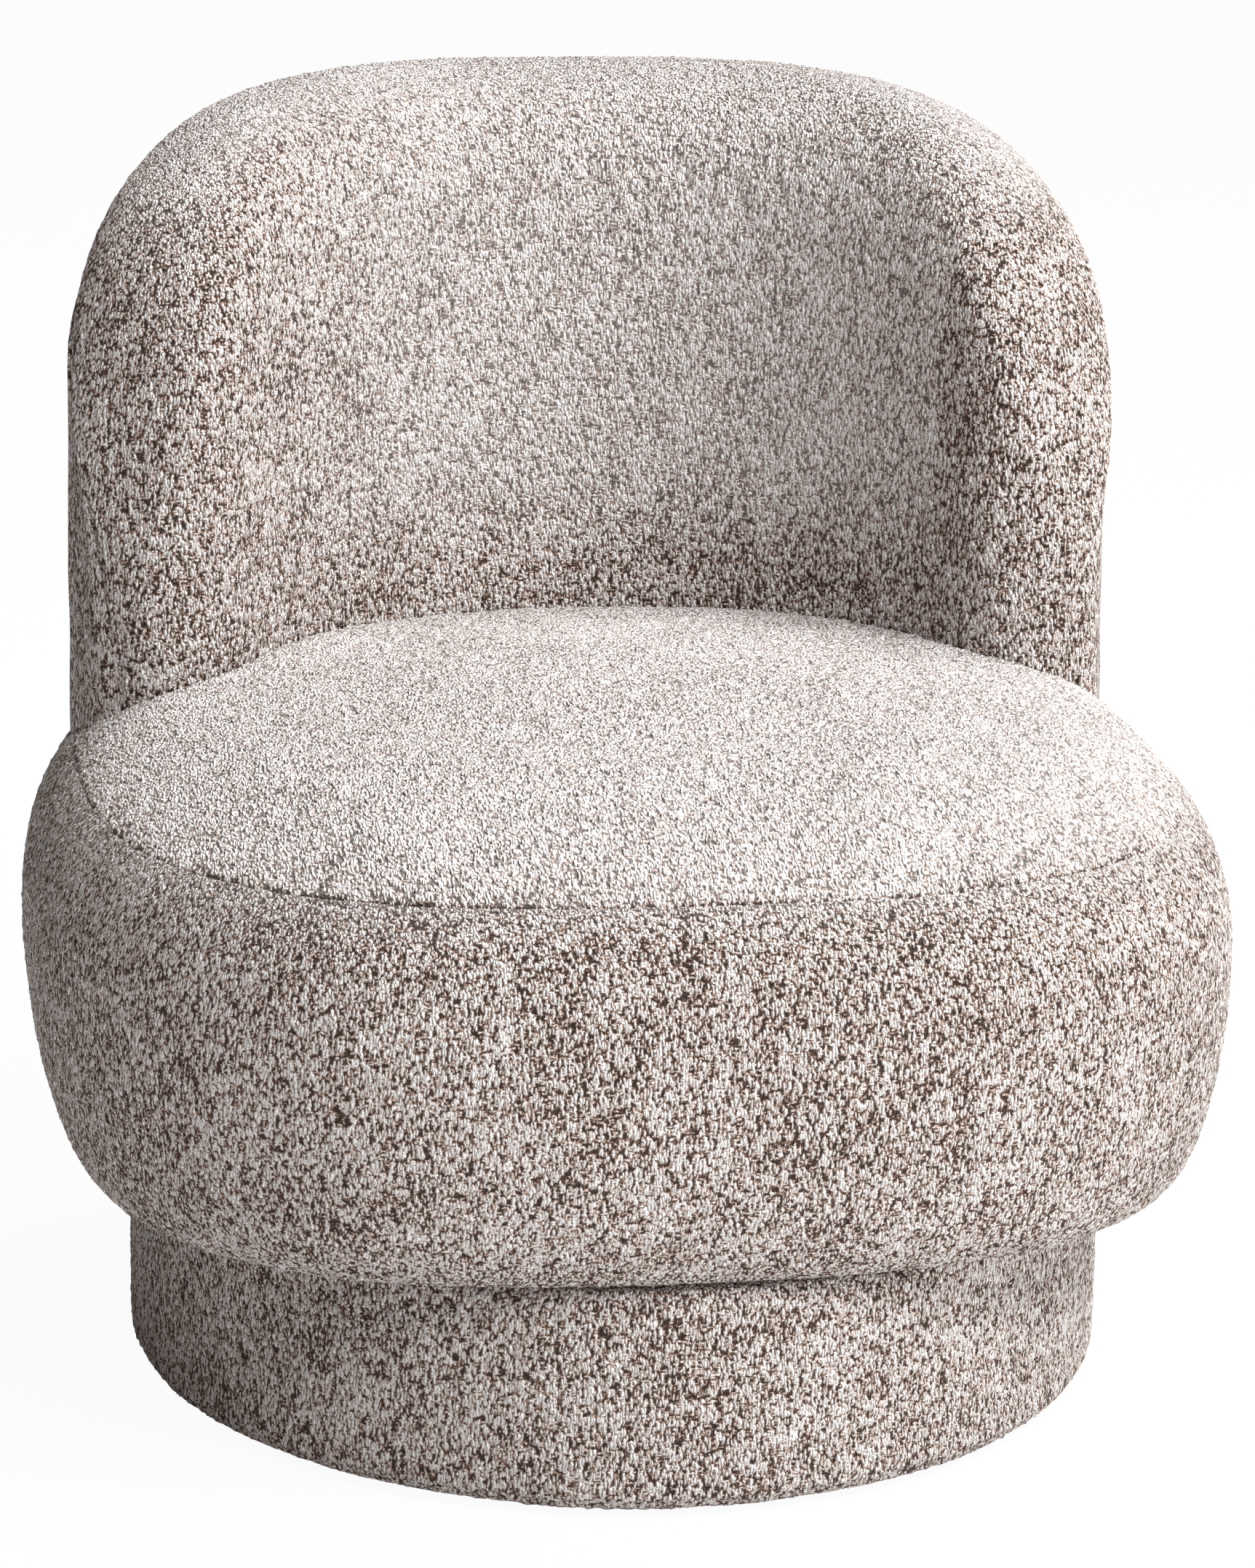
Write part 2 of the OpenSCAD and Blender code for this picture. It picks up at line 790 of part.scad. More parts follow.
module back_rear_foam() {
    color(foam_colour)
        cloth(
            [for (col = columns) rear_path(col, cover_t + fit_gap, lean_share)],
            [for (col = columns) rear_path(col, pad_depth, 0)]);
}

module back_front_cover() {
    color(pile_colour)
        cloth(
            [for (col = columns) front_path(col, 0, lean_share)],
            [for (col = columns) front_path(col, cover_t, lean_share)]);
}

module back_rear_cover() {
    color(pile_colour)
        cloth(
            [for (col = columns) rear_path(col, 0, lean_share)],
            [for (col = columns) rear_path(col, cover_t, lean_share)]);
}

glides();
base_dust_cover();
plinth_bottom_ring();
plinth_posts();
plinth_top_board();
plinth_shell();
plinth_wrap();
plinth_cover();
swivel_lower_plate();
ball_cage();
bearing_balls();
lower_screws();
swivel_upper_plate();
hub_collar();
upper_screws();
seat_base_board();
seat_posts();
seat_side_band();
seat_top_ring();
webbing_across();
webbing_along();
seat_side_foam();
seat_top_foam();
seat_dust_cover();
seat_under_cover();
seat_side_cover();
seat_top_cover();
back_ribs();
back_rails();
back_front_skin();
back_rear_skin();
back_bolts();
back_bolt_nuts();
back_front_foam();
back_rear_foam();
back_front_cover();
back_rear_cover();
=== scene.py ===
import json
import math

import bmesh
import bpy
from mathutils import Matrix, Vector, noise


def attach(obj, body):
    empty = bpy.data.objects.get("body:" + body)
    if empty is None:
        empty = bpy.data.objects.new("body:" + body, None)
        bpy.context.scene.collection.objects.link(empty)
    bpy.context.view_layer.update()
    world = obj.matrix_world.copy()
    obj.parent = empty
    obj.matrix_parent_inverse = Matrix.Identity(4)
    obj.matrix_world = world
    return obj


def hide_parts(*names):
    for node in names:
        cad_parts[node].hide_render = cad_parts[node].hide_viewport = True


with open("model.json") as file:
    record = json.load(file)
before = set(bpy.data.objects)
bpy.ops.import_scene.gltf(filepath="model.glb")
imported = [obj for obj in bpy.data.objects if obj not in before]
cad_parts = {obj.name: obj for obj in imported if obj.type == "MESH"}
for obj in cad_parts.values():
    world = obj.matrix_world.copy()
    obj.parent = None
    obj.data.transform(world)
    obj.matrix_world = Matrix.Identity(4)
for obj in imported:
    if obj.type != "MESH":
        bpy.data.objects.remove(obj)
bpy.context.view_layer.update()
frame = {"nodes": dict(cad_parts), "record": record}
scene = bpy.context.scene
scene.view_settings.view_transform = "Standard"
nodes = frame["nodes"]
print("The frame is in place")


camera = {
    "place": (-0.5992, -3.2931, 1.3171),
    "aim": (0.1731, 0.9467, -0.2762),
    "roll": 0.0222,
    "lens": 131.3,
    "sensor": 36,
    "farthest": 50,
}


def makeCamera():
    data = bpy.data.cameras.new("camera")
    data.lens = camera["lens"]
    data.sensor_width = camera["sensor"]
    data.clip_end = camera["farthest"]
    eye = bpy.data.objects.new("camera", data)
    scene.collection.objects.link(eye)
    eye.location = camera["place"]
    eye.rotation_euler = Vector(camera["aim"]).to_track_quat("-Z", "Y").to_euler()
    eye.rotation_euler.rotate_axis("Z", camera["roll"])
    scene.camera = eye


makeCamera()
print("The camera stands at the front left")


fabric = {
    "thickness": 0.003,    # pile and backing together
    "cell": 0.0075,        # spacing of the cloth before it is refined
    "cuts": 3,             # refines each cell of the outer side
    "underCuts": 1,        # the same for the flat panel that faces the floor
    "pressure": 3.0,       # of the padding
    "frames": 20,
    "mass": 0.3,
    "stretchStiffness": 30,
    "shearStiffness": 15,
    "bendStiffness": 2,
    "mostSwell": 0.004,    # cap on how far the padding pushes the cloth
    "edgeRound": 0.0044,   # how far from a seam the cloth starts to turn in
    "hemLeft": 0.0026,     # thickness left at the lower hems
    "lap": 0.0014,         # each panel runs this far past its seam, so that the pile closes over it
    "smallest": 0.0004,    # shorter edges are merged after a cut
    "unevenness": 0.0011,
    "longWaves": 9,        # waves of the unevenness, per metre
    "shortWaves": 21,
}


def smooth(value, low, high):
    share = min(max((value - low) / (high - low), 0), 1)
    return share * share * (3 - 2 * share)


# Evenly spaced stations along a drawn line of (reach, level) points
def stations(line, spacing):
    lengths = [0]
    for a, b in zip(line, line[1:]):
        lengths.append(lengths[-1] + math.dist(a, b))
    count = max(2, round(lengths[-1] / spacing))
    out, k = [], 0
    for i in range(count + 1):
        at = lengths[-1] * i / count
        while k < len(line) - 2 and lengths[k + 1] < at:
            k += 1
        share = (at - lengths[k]) / max(lengths[k + 1] - lengths[k], 1e-9)
        out.append(tuple(p + (q - p) * share for p, q in zip(line[k], line[k + 1])))
    return out


# A profile of (reach, level) stations turned into a full ring round the swivel axis
def spinProfile(profile, turns):
    bm = bmesh.new()
    chain = [bm.verts.new((reach, 0, level)) for reach, level in profile]
    edges = [bm.edges.new(pair) for pair in zip(chain, chain[1:])]
    bmesh.ops.spin(bm, geom=chain + edges, cent=(0, 0, 0), axis=(0, 0, 1), angle=2 * math.pi,
                   steps=turns, use_merge=True)
    bmesh.ops.recalc_face_normals(bm, faces=bm.faces)
    return bm


def faceOutwards(bm, isOutward):
    wrong = [f for f in bm.faces if not isOutward(f)]
    if len(wrong) * 2 > len(bm.faces):
        bmesh.ops.reverse_faces(bm, faces=bm.faces)


def facesAwayFromAxis(face):
    middle = face.calc_center_median()
    return face.normal.x * middle.x + face.normal.y * middle.y >= 0


def newPiece(name, bm):
    mesh = bpy.data.meshes.new(name)
    bm.to_mesh(mesh)
    bm.free()
    piece = bpy.data.objects.new(name, mesh)
    scene.collection.objects.link(piece)
    return piece


seat = {
    "halfWidth": 0.360,
    "halfDepth": 0.325,
    "planPower": 2.75,
    "shoulderIn": 0.185,
    "shoulderHeight": 0.149,
    "shoulderPower": 2.54,
    "crown": 0.014,
    "tuckIn": 0.033,
    "tuckHeight": 0.125,
    "tuckPower": 1.93,
    "fullLevel": 0.270,
    "seamLevel": 0.370,
    "hemLevel": 0.152,
    "underHem": 0.090,
    "slotRound": 0.006,    # roll of the top cover where it dives beside the back
    "slotClear": 0.0022,
    "sideRound": 2.15,     # length of the side panel's cloth round the seat
    "underRound": 2.0,
    "edgeLeft": 0.0012,    # thickness left at the shoulder's sewn edge
    "parting": 1.0,        # how far the curls part along the shoulder seam
}
back = {
    "radius": 0.320,
    "centre": -0.058,
    "half": 0.053,
    "reach": 0.376,
    "lean": 0.0297,
    "top": 0.756,
    "archLevel": 0.400,
    "archSidePower": 5.4,
    "archTopPower": 2.67,
    "foot": 0.3195,
    "footClear": 0.004,    # the seat's side cover stays whole from here down under the foot
    "seatTop": 0.433,
    "tipTurn": math.radians(90),
    "edgeLeft": 0.0030,    # its pile closes over the seams
    "parting": 0.0,
}
back["arcHalf"] = (back["reach"] - back["half"]) / back["radius"]


# The seat's profile in (reach, level): its shoulder from the crown's rim down to the fullest level,
# its tuck from there down and in, and its crown from the middle out to the rim
def shoulderLine(steps):
    line = []
    for i in range(steps + 1):
        t = math.pi / 2 * (1 - i / steps)
        inset = seat["shoulderIn"] * (1 - math.cos(t) ** (2 / seat["shoulderPower"]))
        line.append((seat["halfWidth"] - inset, seat["fullLevel"]
                     + seat["shoulderHeight"] * math.sin(t) ** (2 / seat["shoulderPower"])))
    return line


def tuckLine(steps):
    line = []
    for i in range(steps + 1):
        t = math.pi / 2 * i / steps
        inset = seat["tuckIn"] * (1 - math.cos(t) ** (2 / seat["tuckPower"]))
        line.append((seat["halfWidth"] - inset, seat["fullLevel"]
                     - seat["tuckHeight"] * math.sin(t) ** (2 / seat["tuckPower"])))
    return line


def crownLine(steps):
    inner = seat["halfWidth"] - seat["shoulderIn"]
    level = seat["fullLevel"] + seat["shoulderHeight"]
    return [(inner * i / steps, level + seat["crown"] * (1 - (i / steps) ** 2)) for i in range(steps + 1)]


# The part of a falling line between two levels, its ends exactly on them
def between(line, high, low):
    out = []
    for a, b in zip(line, line[1:]):
        for level in (high, low):
            if (a[1] - level) * (b[1] - level) < 0:
                share = (level - a[1]) / (b[1] - a[1])
                out.append((a[0] + (b[0] - a[0]) * share, level))
        if low <= b[1] <= high:
            out.append(b)
    return out


def planShare(turn):
    power = seat["planPower"]
    return (abs(math.cos(turn)) ** power + abs(math.sin(turn)) ** power) ** (-1 / power)


# A point of the seat's oval plan, from its reach along X
def ovalPlace(reach, turn, level):
    inner = seat["halfWidth"] - seat["shoulderIn"]
    if reach < inner:
        deep = reach / inner * (seat["halfDepth"] - seat["shoulderIn"])
    else:
        deep = reach - seat["halfWidth"] + seat["halfDepth"]
    share = planShare(turn)
    return Vector((share * reach * math.cos(turn), share * deep * math.sin(turn), level))


# Distance in plan from the back's centreline, and the direction away from it
def fromBack(place):
    x, y = place.x, place.y - back["centre"]
    turn = math.atan2(x, y)
    if abs(turn) <= back["arcHalf"]:
        out = Vector((x, y, 0)).normalized()
        gap = math.hypot(x, y) - back["radius"]
        return abs(gap), out if gap > 0 else -out
    end = math.copysign(back["arcHalf"], turn)
    away = Vector((x - back["radius"] * math.sin(end), y - back["radius"] * math.cos(end), 0))
    return away.length, away.normalized()


# Cuts a cover where the back stands, on a clean line round it, and leaves it whole under the back's foot
def cutForBack(bm):
    limit = back["half"] + seat["slotClear"]
    floor = back["foot"] - back["footClear"]
    gone = [f for f in bm.faces if all(v.co.z > floor and fromBack(v.co)[0] < limit for v in f.verts)]
    bmesh.ops.delete(bm, geom=gone, context="FACES")
    for v in bm.verts:
        gap, out = fromBack(v.co)
        if gap < limit and v.co.z > floor:
            v.co += out * (limit - gap)
    bmesh.ops.dissolve_degenerate(bm, dist=fabric["smallest"], edges=bm.edges)


def seatTopSheet():
    line = crownLine(24) + between(shoulderLine(60), 1, seat["seamLevel"] - fabric["lap"])
    profile = stations(line, fabric["cell"])
    rings = len(profile) - 1
    bm = bmesh.new()
    bmesh.ops.create_grid(bm, x_segments=2 * rings, y_segments=2 * rings, size=1)
    for v in bm.verts:
        u, w = v.co.x, v.co.y
        if max(abs(u), abs(w)) < 1e-6:
            v.co = (0, 0, profile[0][1])
            continue
        if abs(u) >= abs(w):
            ring, turn = u, math.pi / 4 * w / u
        else:
            ring, turn = w, math.pi / 2 - math.pi / 4 * u / w
        reach, level = profile[round(abs(ring) * rings)]
        v.co = ovalPlace(reach, math.atan2(ring * math.sin(turn), ring * math.cos(turn)), level)
    cutForBack(bm)
    faceOutwards(bm, lambda f: f.normal.z > 0)
    return bm


def seatSideSheet():
    high, low = seat["seamLevel"] + fabric["lap"], seat["hemLevel"] - fabric["lap"]
    line = between(shoulderLine(60), high, 0) + tuckLine(60)[1:]
    profile = stations(between(line, high, low), fabric["cell"])
    bm = spinProfile(profile, round(seat["sideRound"] / fabric["cell"]))
    for v in bm.verts:
        v.co = ovalPlace(math.hypot(v.co.x, v.co.y), math.atan2(v.co.y, v.co.x), v.co.z)
    cutForBack(bm)
    faceOutwards(bm, facesAwayFromAxis)
    return bm


def seatUnderSheet():
    turned = between(tuckLine(60), seat["hemLevel"] + fabric["lap"], 0)
    end = turned[-1]
    line = turned + [(seat["halfWidth"] - seat["underHem"], end[1])]
    bm = spinProfile(stations(line, fabric["cell"]), round(seat["underRound"] / fabric["cell"]))
    for v in bm.verts:
        v.co = ovalPlace(math.hypot(v.co.x, v.co.y), math.atan2(v.co.y, v.co.x), v.co.z)
    faceOutwards(bm, lambda f: f.normal.z < 0)
    return bm


def archTop(along):
    share = min(abs(along) / back["reach"], 1)
    rise = (1 - share ** back["archSidePower"]) ** (1 / back["archTopPower"])
    return back["archLevel"] + (back["top"] - back["archLevel"]) * rise


# Column of the back at a distance along its surface: turn, half thickness, run past the arc's end, top
def backColumn(along):
    straight = back["radius"] * back["arcHalf"]
    past = max(0, abs(along) - straight) / back["half"]
    turn = math.copysign(min(abs(along), straight) / back["radius"], along)
    half, run = back["half"] * math.cos(past), math.copysign(back["half"] * math.sin(past), along)
    return turn, half, run, archTop(back["radius"] * turn + run)


def backPlace(column, offset, level):
    turn, _, run, _ = column
    reach = back["radius"] + offset
    lean = back["lean"] * max(0, level - back["seatTop"])
    return Vector((reach * math.sin(turn) + run * math.cos(turn),
                   back["centre"] + reach * math.cos(turn) - abs(run) * math.sin(abs(turn)) + lean, level))


def backSheet(isFront):
    straight = back["radius"] * back["arcHalf"]
    length = straight + back["half"] * back["tipTurn"] + fabric["lap"]
    rise = back["top"] - back["foot"]
    columns = round(2 * length / fabric["cell"])
    rows = round((rise + (2 * back["half"] if isFront else 0)) / fabric["cell"])
    bm = bmesh.new()
    bmesh.ops.create_grid(bm, x_segments=columns, y_segments=rows, size=1)
    for v in bm.verts:
        column = backColumn(v.co.x * length)
        _, half, _, top = column
        share = (v.co.y + 1) / 2
        straightUp = top - half - back["foot"]
        if isFront:
            way = share * (math.pi * half + straightUp + fabric["lap"]) - fabric["lap"]
            if way < 0:
                v.co = backPlace(column, half, top - half + way)
            elif way < math.pi * half:
                roll = way / max(half, 1e-6)
                v.co = backPlace(column, half * math.cos(roll), top - half + half * math.sin(roll))
            else:
                v.co = backPlace(column, -half, top - half - (way - math.pi * half))
        else:
            v.co = backPlace(column, half, back["foot"] + share * (straightUp + fabric["lap"]))
    middle = Vector((0, back["centre"], 0))
    if isFront:
        faceOutwards(bm, lambda f: f.normal.dot(middle - f.calc_center_median()) > 0)
    else:
        faceOutwards(bm, lambda f: f.normal.dot(f.calc_center_median() - middle) > 0)
    return bm


plinth = {
    "radius": 0.2975,
    "low": 0.005,
    "high": 0.141,
    "lowRound": 0.0136,
    "highRound": 0.007,
    "hemReach": 0.250,
    "parting": 0.0,
}


def plinthSheet():
    line = [(plinth["hemReach"], plinth["high"])]
    for radius, level, first in ((plinth["highRound"], plinth["high"] - plinth["highRound"], 90),
                                 (plinth["lowRound"], plinth["low"] + plinth["lowRound"], 0)):
        for i in range(7):
            turn = math.radians(first - 15 * i)
            line.append((plinth["radius"] - radius + radius * math.cos(turn), level + radius * math.sin(turn)))
    line.append((plinth["hemReach"], plinth["low"]))
    bm = spinProfile(stations(line, fabric["cell"]), round(2 * math.pi * plinth["radius"] / fabric["cell"]))
    faceOutwards(bm, facesAwayFromAxis)
    return bm


def borderOf(bm):
    return [e for e in bm.edges if e.is_boundary]


# The padding pushes the cloth out between its seams
def swell(pieces):
    starts = {}
    for piece in pieces:
        bm = bmesh.new()
        bm.from_mesh(piece.data)
        sewn = sorted({v.index for e in borderOf(bm) for v in e.verts})
        bm.free()
        piece.vertex_groups.new(name="sewn").add(sewn, 1, "REPLACE")
        starts[piece.name] = [v.co.copy() for v in piece.data.vertices]
        cloth = piece.modifiers.new("cloth", "CLOTH")
        cloth.settings.quality = 5
        cloth.settings.mass = fabric["mass"]
        cloth.settings.tension_stiffness = fabric["stretchStiffness"]
        cloth.settings.compression_stiffness = fabric["stretchStiffness"]
        cloth.settings.shear_stiffness = fabric["shearStiffness"]
        cloth.settings.bending_stiffness = fabric["bendStiffness"]
        cloth.settings.vertex_group_mass = "sewn"
        cloth.settings.use_pressure = True
        cloth.settings.uniform_pressure_force = fabric["pressure"]
        cloth.settings.effector_weights.gravity = 0
        cloth.collision_settings.use_collision = False
        cloth.point_cache.frame_start = 1
        cloth.point_cache.frame_end = fabric["frames"]
    for step in range(1, fabric["frames"] + 1):
        scene.frame_set(step)
    graph = bpy.context.evaluated_depsgraph_get()
    for piece in pieces:
        swollen = [v.co.copy() for v in piece.evaluated_get(graph).data.vertices]
        piece.modifiers.clear()
        most = 0
        for v, first, last in zip(piece.data.vertices, starts[piece.name], swollen):
            move = last - first
            most = max(most, move.length)
            if move.length > 0:
                capped = math.tanh(move.length / fabric["mostSwell"])
                v.co = first + move.normalized() * fabric["mostSwell"] * capped
        piece.vertex_groups.clear()
        print(f"{piece.name} swelled, {most * 1000:.1f} mm before the cap")
    scene.frame_set(1)


# Gives the cloth its backing side, refines the pile side alone, and turns its edges in at the seams
def lineAndRefine(piece, cuts, facts):
    bm = bmesh.new()
    bm.from_mesh(piece.data)
    bm.normal_update()
    free, up = bm.verts.layers.float.new("free"), bm.verts.layers.float_vector.new("up")
    for v in bm.verts:
        v[free] = 0 if v.is_boundary else 1
        v[up] = v.normal
    backing = list(bm.faces)
    insides = {v: v.co - v.normal * fabric["thickness"] for v in bm.verts}
    grown = bmesh.ops.extrude_face_region(bm, geom=backing, use_keep_orig=True)
    pile = [g for g in grown["geom"] if isinstance(g, bmesh.types.BMFace)]
    inside = set(backing)
    for v, place in insides.items():
        v.co = place
    bmesh.ops.reverse_faces(bm, faces=backing)
    for f in bm.faces:
        f.material_index = 1 if f in inside else 0
    edges = list(dict.fromkeys(e for f in pile for e in f.edges))    # in the same order each run
    bmesh.ops.subdivide_edges(bm, edges=edges, cuts=cuts, use_grid_fill=True, smooth=0)
    for v in bm.verts:
        wave = noise.noise(v.co * fabric["longWaves"])
        wave += 0.5 * noise.noise(v.co * fabric["shortWaves"] + Vector((5, 3, 8)))
        move = (wave + 0.7) * fabric["unevenness"]
        if any(f.material_index == 0 for f in v.link_faces):
            share = 1 - min(v[free] * fabric["cell"] / fabric["edgeRound"], 1)
            left = facts["edgeLeft"] if v.co.z > seat["fullLevel"] else fabric["hemLeft"]
            move -= (fabric["thickness"] - left) * (1 - math.sqrt(max(1 - share * share, 0)))
        v.co += v[up] * move
    bmesh.ops.recalc_face_normals(bm, faces=bm.faces)
    for f in bm.faces:
        f.smooth = True
    bm.to_mesh(piece.data)
    bm.free()


# The top cover dives beside the back
def diveAtBack(piece):
    for v in piece.data.vertices:
        gap = fromBack(v.co)[0] - back["half"] - seat["slotClear"]
        if gap < seat["slotRound"]:
            inside = seat["slotRound"] - max(gap, 0)
            v.co.z -= seat["slotRound"] - math.sqrt(max(seat["slotRound"] ** 2 - inside ** 2, 0))


topCover = newPiece("seatTopCover", seatTopSheet())
sideCover = newPiece("seatSideCover", seatSideSheet())
underCover = newPiece("seatUnderCover", seatUnderSheet())
backFront = newPiece("backFrontCover", backSheet(True))
backRear = newPiece("backRearCover", backSheet(False))
plinthCover = newPiece("plinthCover", plinthSheet())
covers = {topCover: seat, sideCover: seat, underCover: seat,
          backFront: back, backRear: back, plinthCover: plinth}
print("The cover panels are cut:", {c.name: len(c.data.polygons) for c in covers})

swell([topCover, sideCover, backFront, backRear, plinthCover])
for cover, facts in covers.items():
    lineAndRefine(cover, fabric["underCuts" if cover is underCover else "cuts"], facts)
diveAtBack(topCover)
print("The covers are padded and sewn")


curl = {
    "size": 0.0019,        # width of one curl of the yarn
    "length": 2.6,         # its length, in widths
    "acrossSize": 0.92,    # size and height of the curls that lie across the nap, against the others
    "acrossHeight": 0.72,
    "bend": 0.0010,        # how far the curls wander
    "bendSize": 0.0031,
    "reach": 0.86,
    "lump": 0.0055,        # size of the lumps that the curls gather in
    "lumpHeight": 0.0026,
    "curlHeight": 0.0014,
    "bump": 0.0052,
    "seamLeft": 0.4,       # share of the relief that is left where the curls part over a seam
}


def link(tree, source, target):
    tree.links.new(source, target)


def mathNode(tree, operation, first, second=None, third=None):
    node = tree.nodes.new("ShaderNodeMath")
    node.operation = operation
    for socket, value in zip(node.inputs, (first, second, third)):
        if isinstance(value, (int, float)):
            socket.default_value = value
        elif value is not None:
            link(tree, value, socket)
    return node.outputs[0]


def vectorNode(tree, operation, first, second=None, scale=None):
    node = tree.nodes.new("ShaderNodeVectorMath")
    node.operation = operation
    for socket, value in zip(node.inputs, (first, second)):
        if isinstance(value, (tuple, list)):
            socket.default_value = value
        elif value is not None:
            link(tree, value, socket)
    if scale is not None:
        node.inputs["Scale"].default_value = scale
    return node.outputs[0]


def noiseNode(tree, place, size, detail=1.0, rough=0.5):
    node = tree.nodes.new("ShaderNodeTexNoise")
    node.noise_dimensions = "3D"
    node.inputs["Scale"].default_value = 1 / size
    node.inputs["Detail"].default_value = detail
    node.inputs["Roughness"].default_value = rough
    link(tree, place, node.inputs["Vector"])
    return node


def rangeNode(tree, value, low, high, newLow=0.0, newHigh=1.0, kind="SMOOTHSTEP"):
    node = tree.nodes.new("ShaderNodeMapRange")
    node.interpolation_type = kind
    link(tree, value, node.inputs["Value"])
    node.inputs["From Min"].default_value = low
    node.inputs["From Max"].default_value = high
    node.inputs["To Min"].default_value = newLow
    node.inputs["To Max"].default_value = newHigh
    return node.outputs[0]


# One layer of curls: cells drawn out by the stretch, high in their middles
def curlLayer(tree, place, stretch, shift, size):
    moved = vectorNode(tree, "ADD", vectorNode(tree, "MULTIPLY", place, stretch), shift)
    cells = tree.nodes.new("ShaderNodeTexVoronoi")
    cells.voronoi_dimensions = "3D"
    cells.feature = "F1"
    cells.inputs["Scale"].default_value = 1 / size
    link(tree, moved, cells.inputs["Vector"])
    high = rangeNode(tree, cells.outputs["Distance"], curl["reach"], 0.0, kind="LINEAR")
    return high, cells.outputs["Color"]


# The same curls serve the modelled pile and its shader: some stand along the nap, some lie across it
def curls(tree, place):
    swirl = noiseNode(tree, place, curl["bendSize"], 1.0)
    drift = vectorNode(tree, "SUBTRACT", swirl.outputs["Color"], (0.5, 0.5, 0.5))
    moved = vectorNode(tree, "ADD", place, vectorNode(tree, "SCALE", drift, scale=2 * curl["bend"]))
    short = 1 / curl["length"]
    along, shade = curlLayer(tree, moved, (1, 1, short), (0, 0, 0), curl["size"])
    across, _ = curlLayer(tree, moved, (short * 1.15, 1, 0.9), (0.31, 0.17, 0.53),
                          curl["size"] * curl["acrossSize"])
    return mathNode(tree, "MAXIMUM", along, mathNode(tree, "MULTIPLY", across, curl["acrossHeight"])), shade


# Where the pile is brushed and painted lighter, and where it parts at a seam with painted shade
wearLightShade = {
    "satLitSlope": (0.45, 0.97),      # painted lighter where the cloth faces up this much, as brushed pile and as light from above
    "satLitLevel": (0.30, 0.34),      # and lies above these levels
    "leant": 0.75,                 # how far the middle of the back is painted lighter, as brushed pile and as light
    "leanLitMiddle": 0.03,
    "leanLitReach": 0.26,            # that zone's half width, and how far it fades in
    "leantFade": 0.16,
    "leanLitLevel": (0.44, 0.52),
    "leanLitSlope": -0.5,            # only cloth that faces forward at least this much
    "leanLitFront": 0.1,             # and stands behind this line takes part
    "seamSlack": 0.25,             # how far the curls part, and the seam is painted darker, on its lit right side
    "seamPull": (-0.10, 0.20),     # both grow over this stretch towards the left, where the seam falls in shade
    "seamLevel": (0.300, 0.335),
    "seamWaves": 60,
    "seamMean": 0.62,
    "seamWidth": (0.05, 0.95),     # share of a cell of cloth over which the parting fades
}


# Notes on each point of a cover, taken before its pile is raised: its place, drawn out along the nap,
# how far the pile is brushed flat where people sit and lean and painted lighter there as light from above, and
# how far it parts over a seam, with painted shade that grows towards the left
def markCloth(piece, nap, parting):
    mesh = piece.data
    mesh.update()
    places, brushedLitShares, partings = [], [], []
    free = mesh.attributes["free"].data
    for v, share in zip(mesh.vertices, free):
        places.extend(p * n for p, n in zip(v.co, nap))
        # Cloth that faces up is painted lighter, as brushed pile and as light from above; so is the back's
        # middle
        satAndLit = smooth(v.normal.z, *wearLightShade["satLitSlope"]) * smooth(v.co.z, *wearLightShade["satLitLevel"])
        lean = 0
        if v.normal.y <= wearLightShade["leanLitSlope"] and v.co.y > wearLightShade["leanLitFront"]:
            inside = wearLightShade["leanLitReach"] - abs(v.co.x - wearLightShade["leanLitMiddle"])
            lean = smooth(inside, 0, wearLightShade["leantFade"]) * smooth(v.co.z, *wearLightShade["leanLitLevel"])
        brushedLitShares.append(max(satAndLit, wearLightShade["leant"] * lean))
        # The seam's parting and its painted shade grow towards the left, away from the light
        tightAndShaded = wearLightShade["seamSlack"] + (1 - wearLightShade["seamSlack"]) * smooth(-v.co.x - 0.3 * v.co.y, *wearLightShade["seamPull"])
        tightAndShaded *= smooth(v.co.z, *wearLightShade["seamLevel"])
        tightAndShaded *= wearLightShade["seamMean"] + noise.noise(v.co * wearLightShade["seamWaves"])
        partings.append(parting * tightAndShaded * (1 - smooth(share.value, *wearLightShade["seamWidth"])))
    mesh.attributes.new("weavePlace", "FLOAT_VECTOR", "POINT").data.foreach_set("vector", places)
    mesh.attributes.new("brushedAndLit", "FLOAT", "POINT").data.foreach_set("value", brushedLitShares)
    mesh.attributes.new("partedAndShaded", "FLOAT", "POINT").data.foreach_set("value", partings)


def namedAttribute(tree, name, kind):
    node = tree.nodes.new("GeometryNodeInputNamedAttribute")
    node.data_type = kind
    node.inputs["Name"].default_value = name
    return node.outputs["Attribute"]


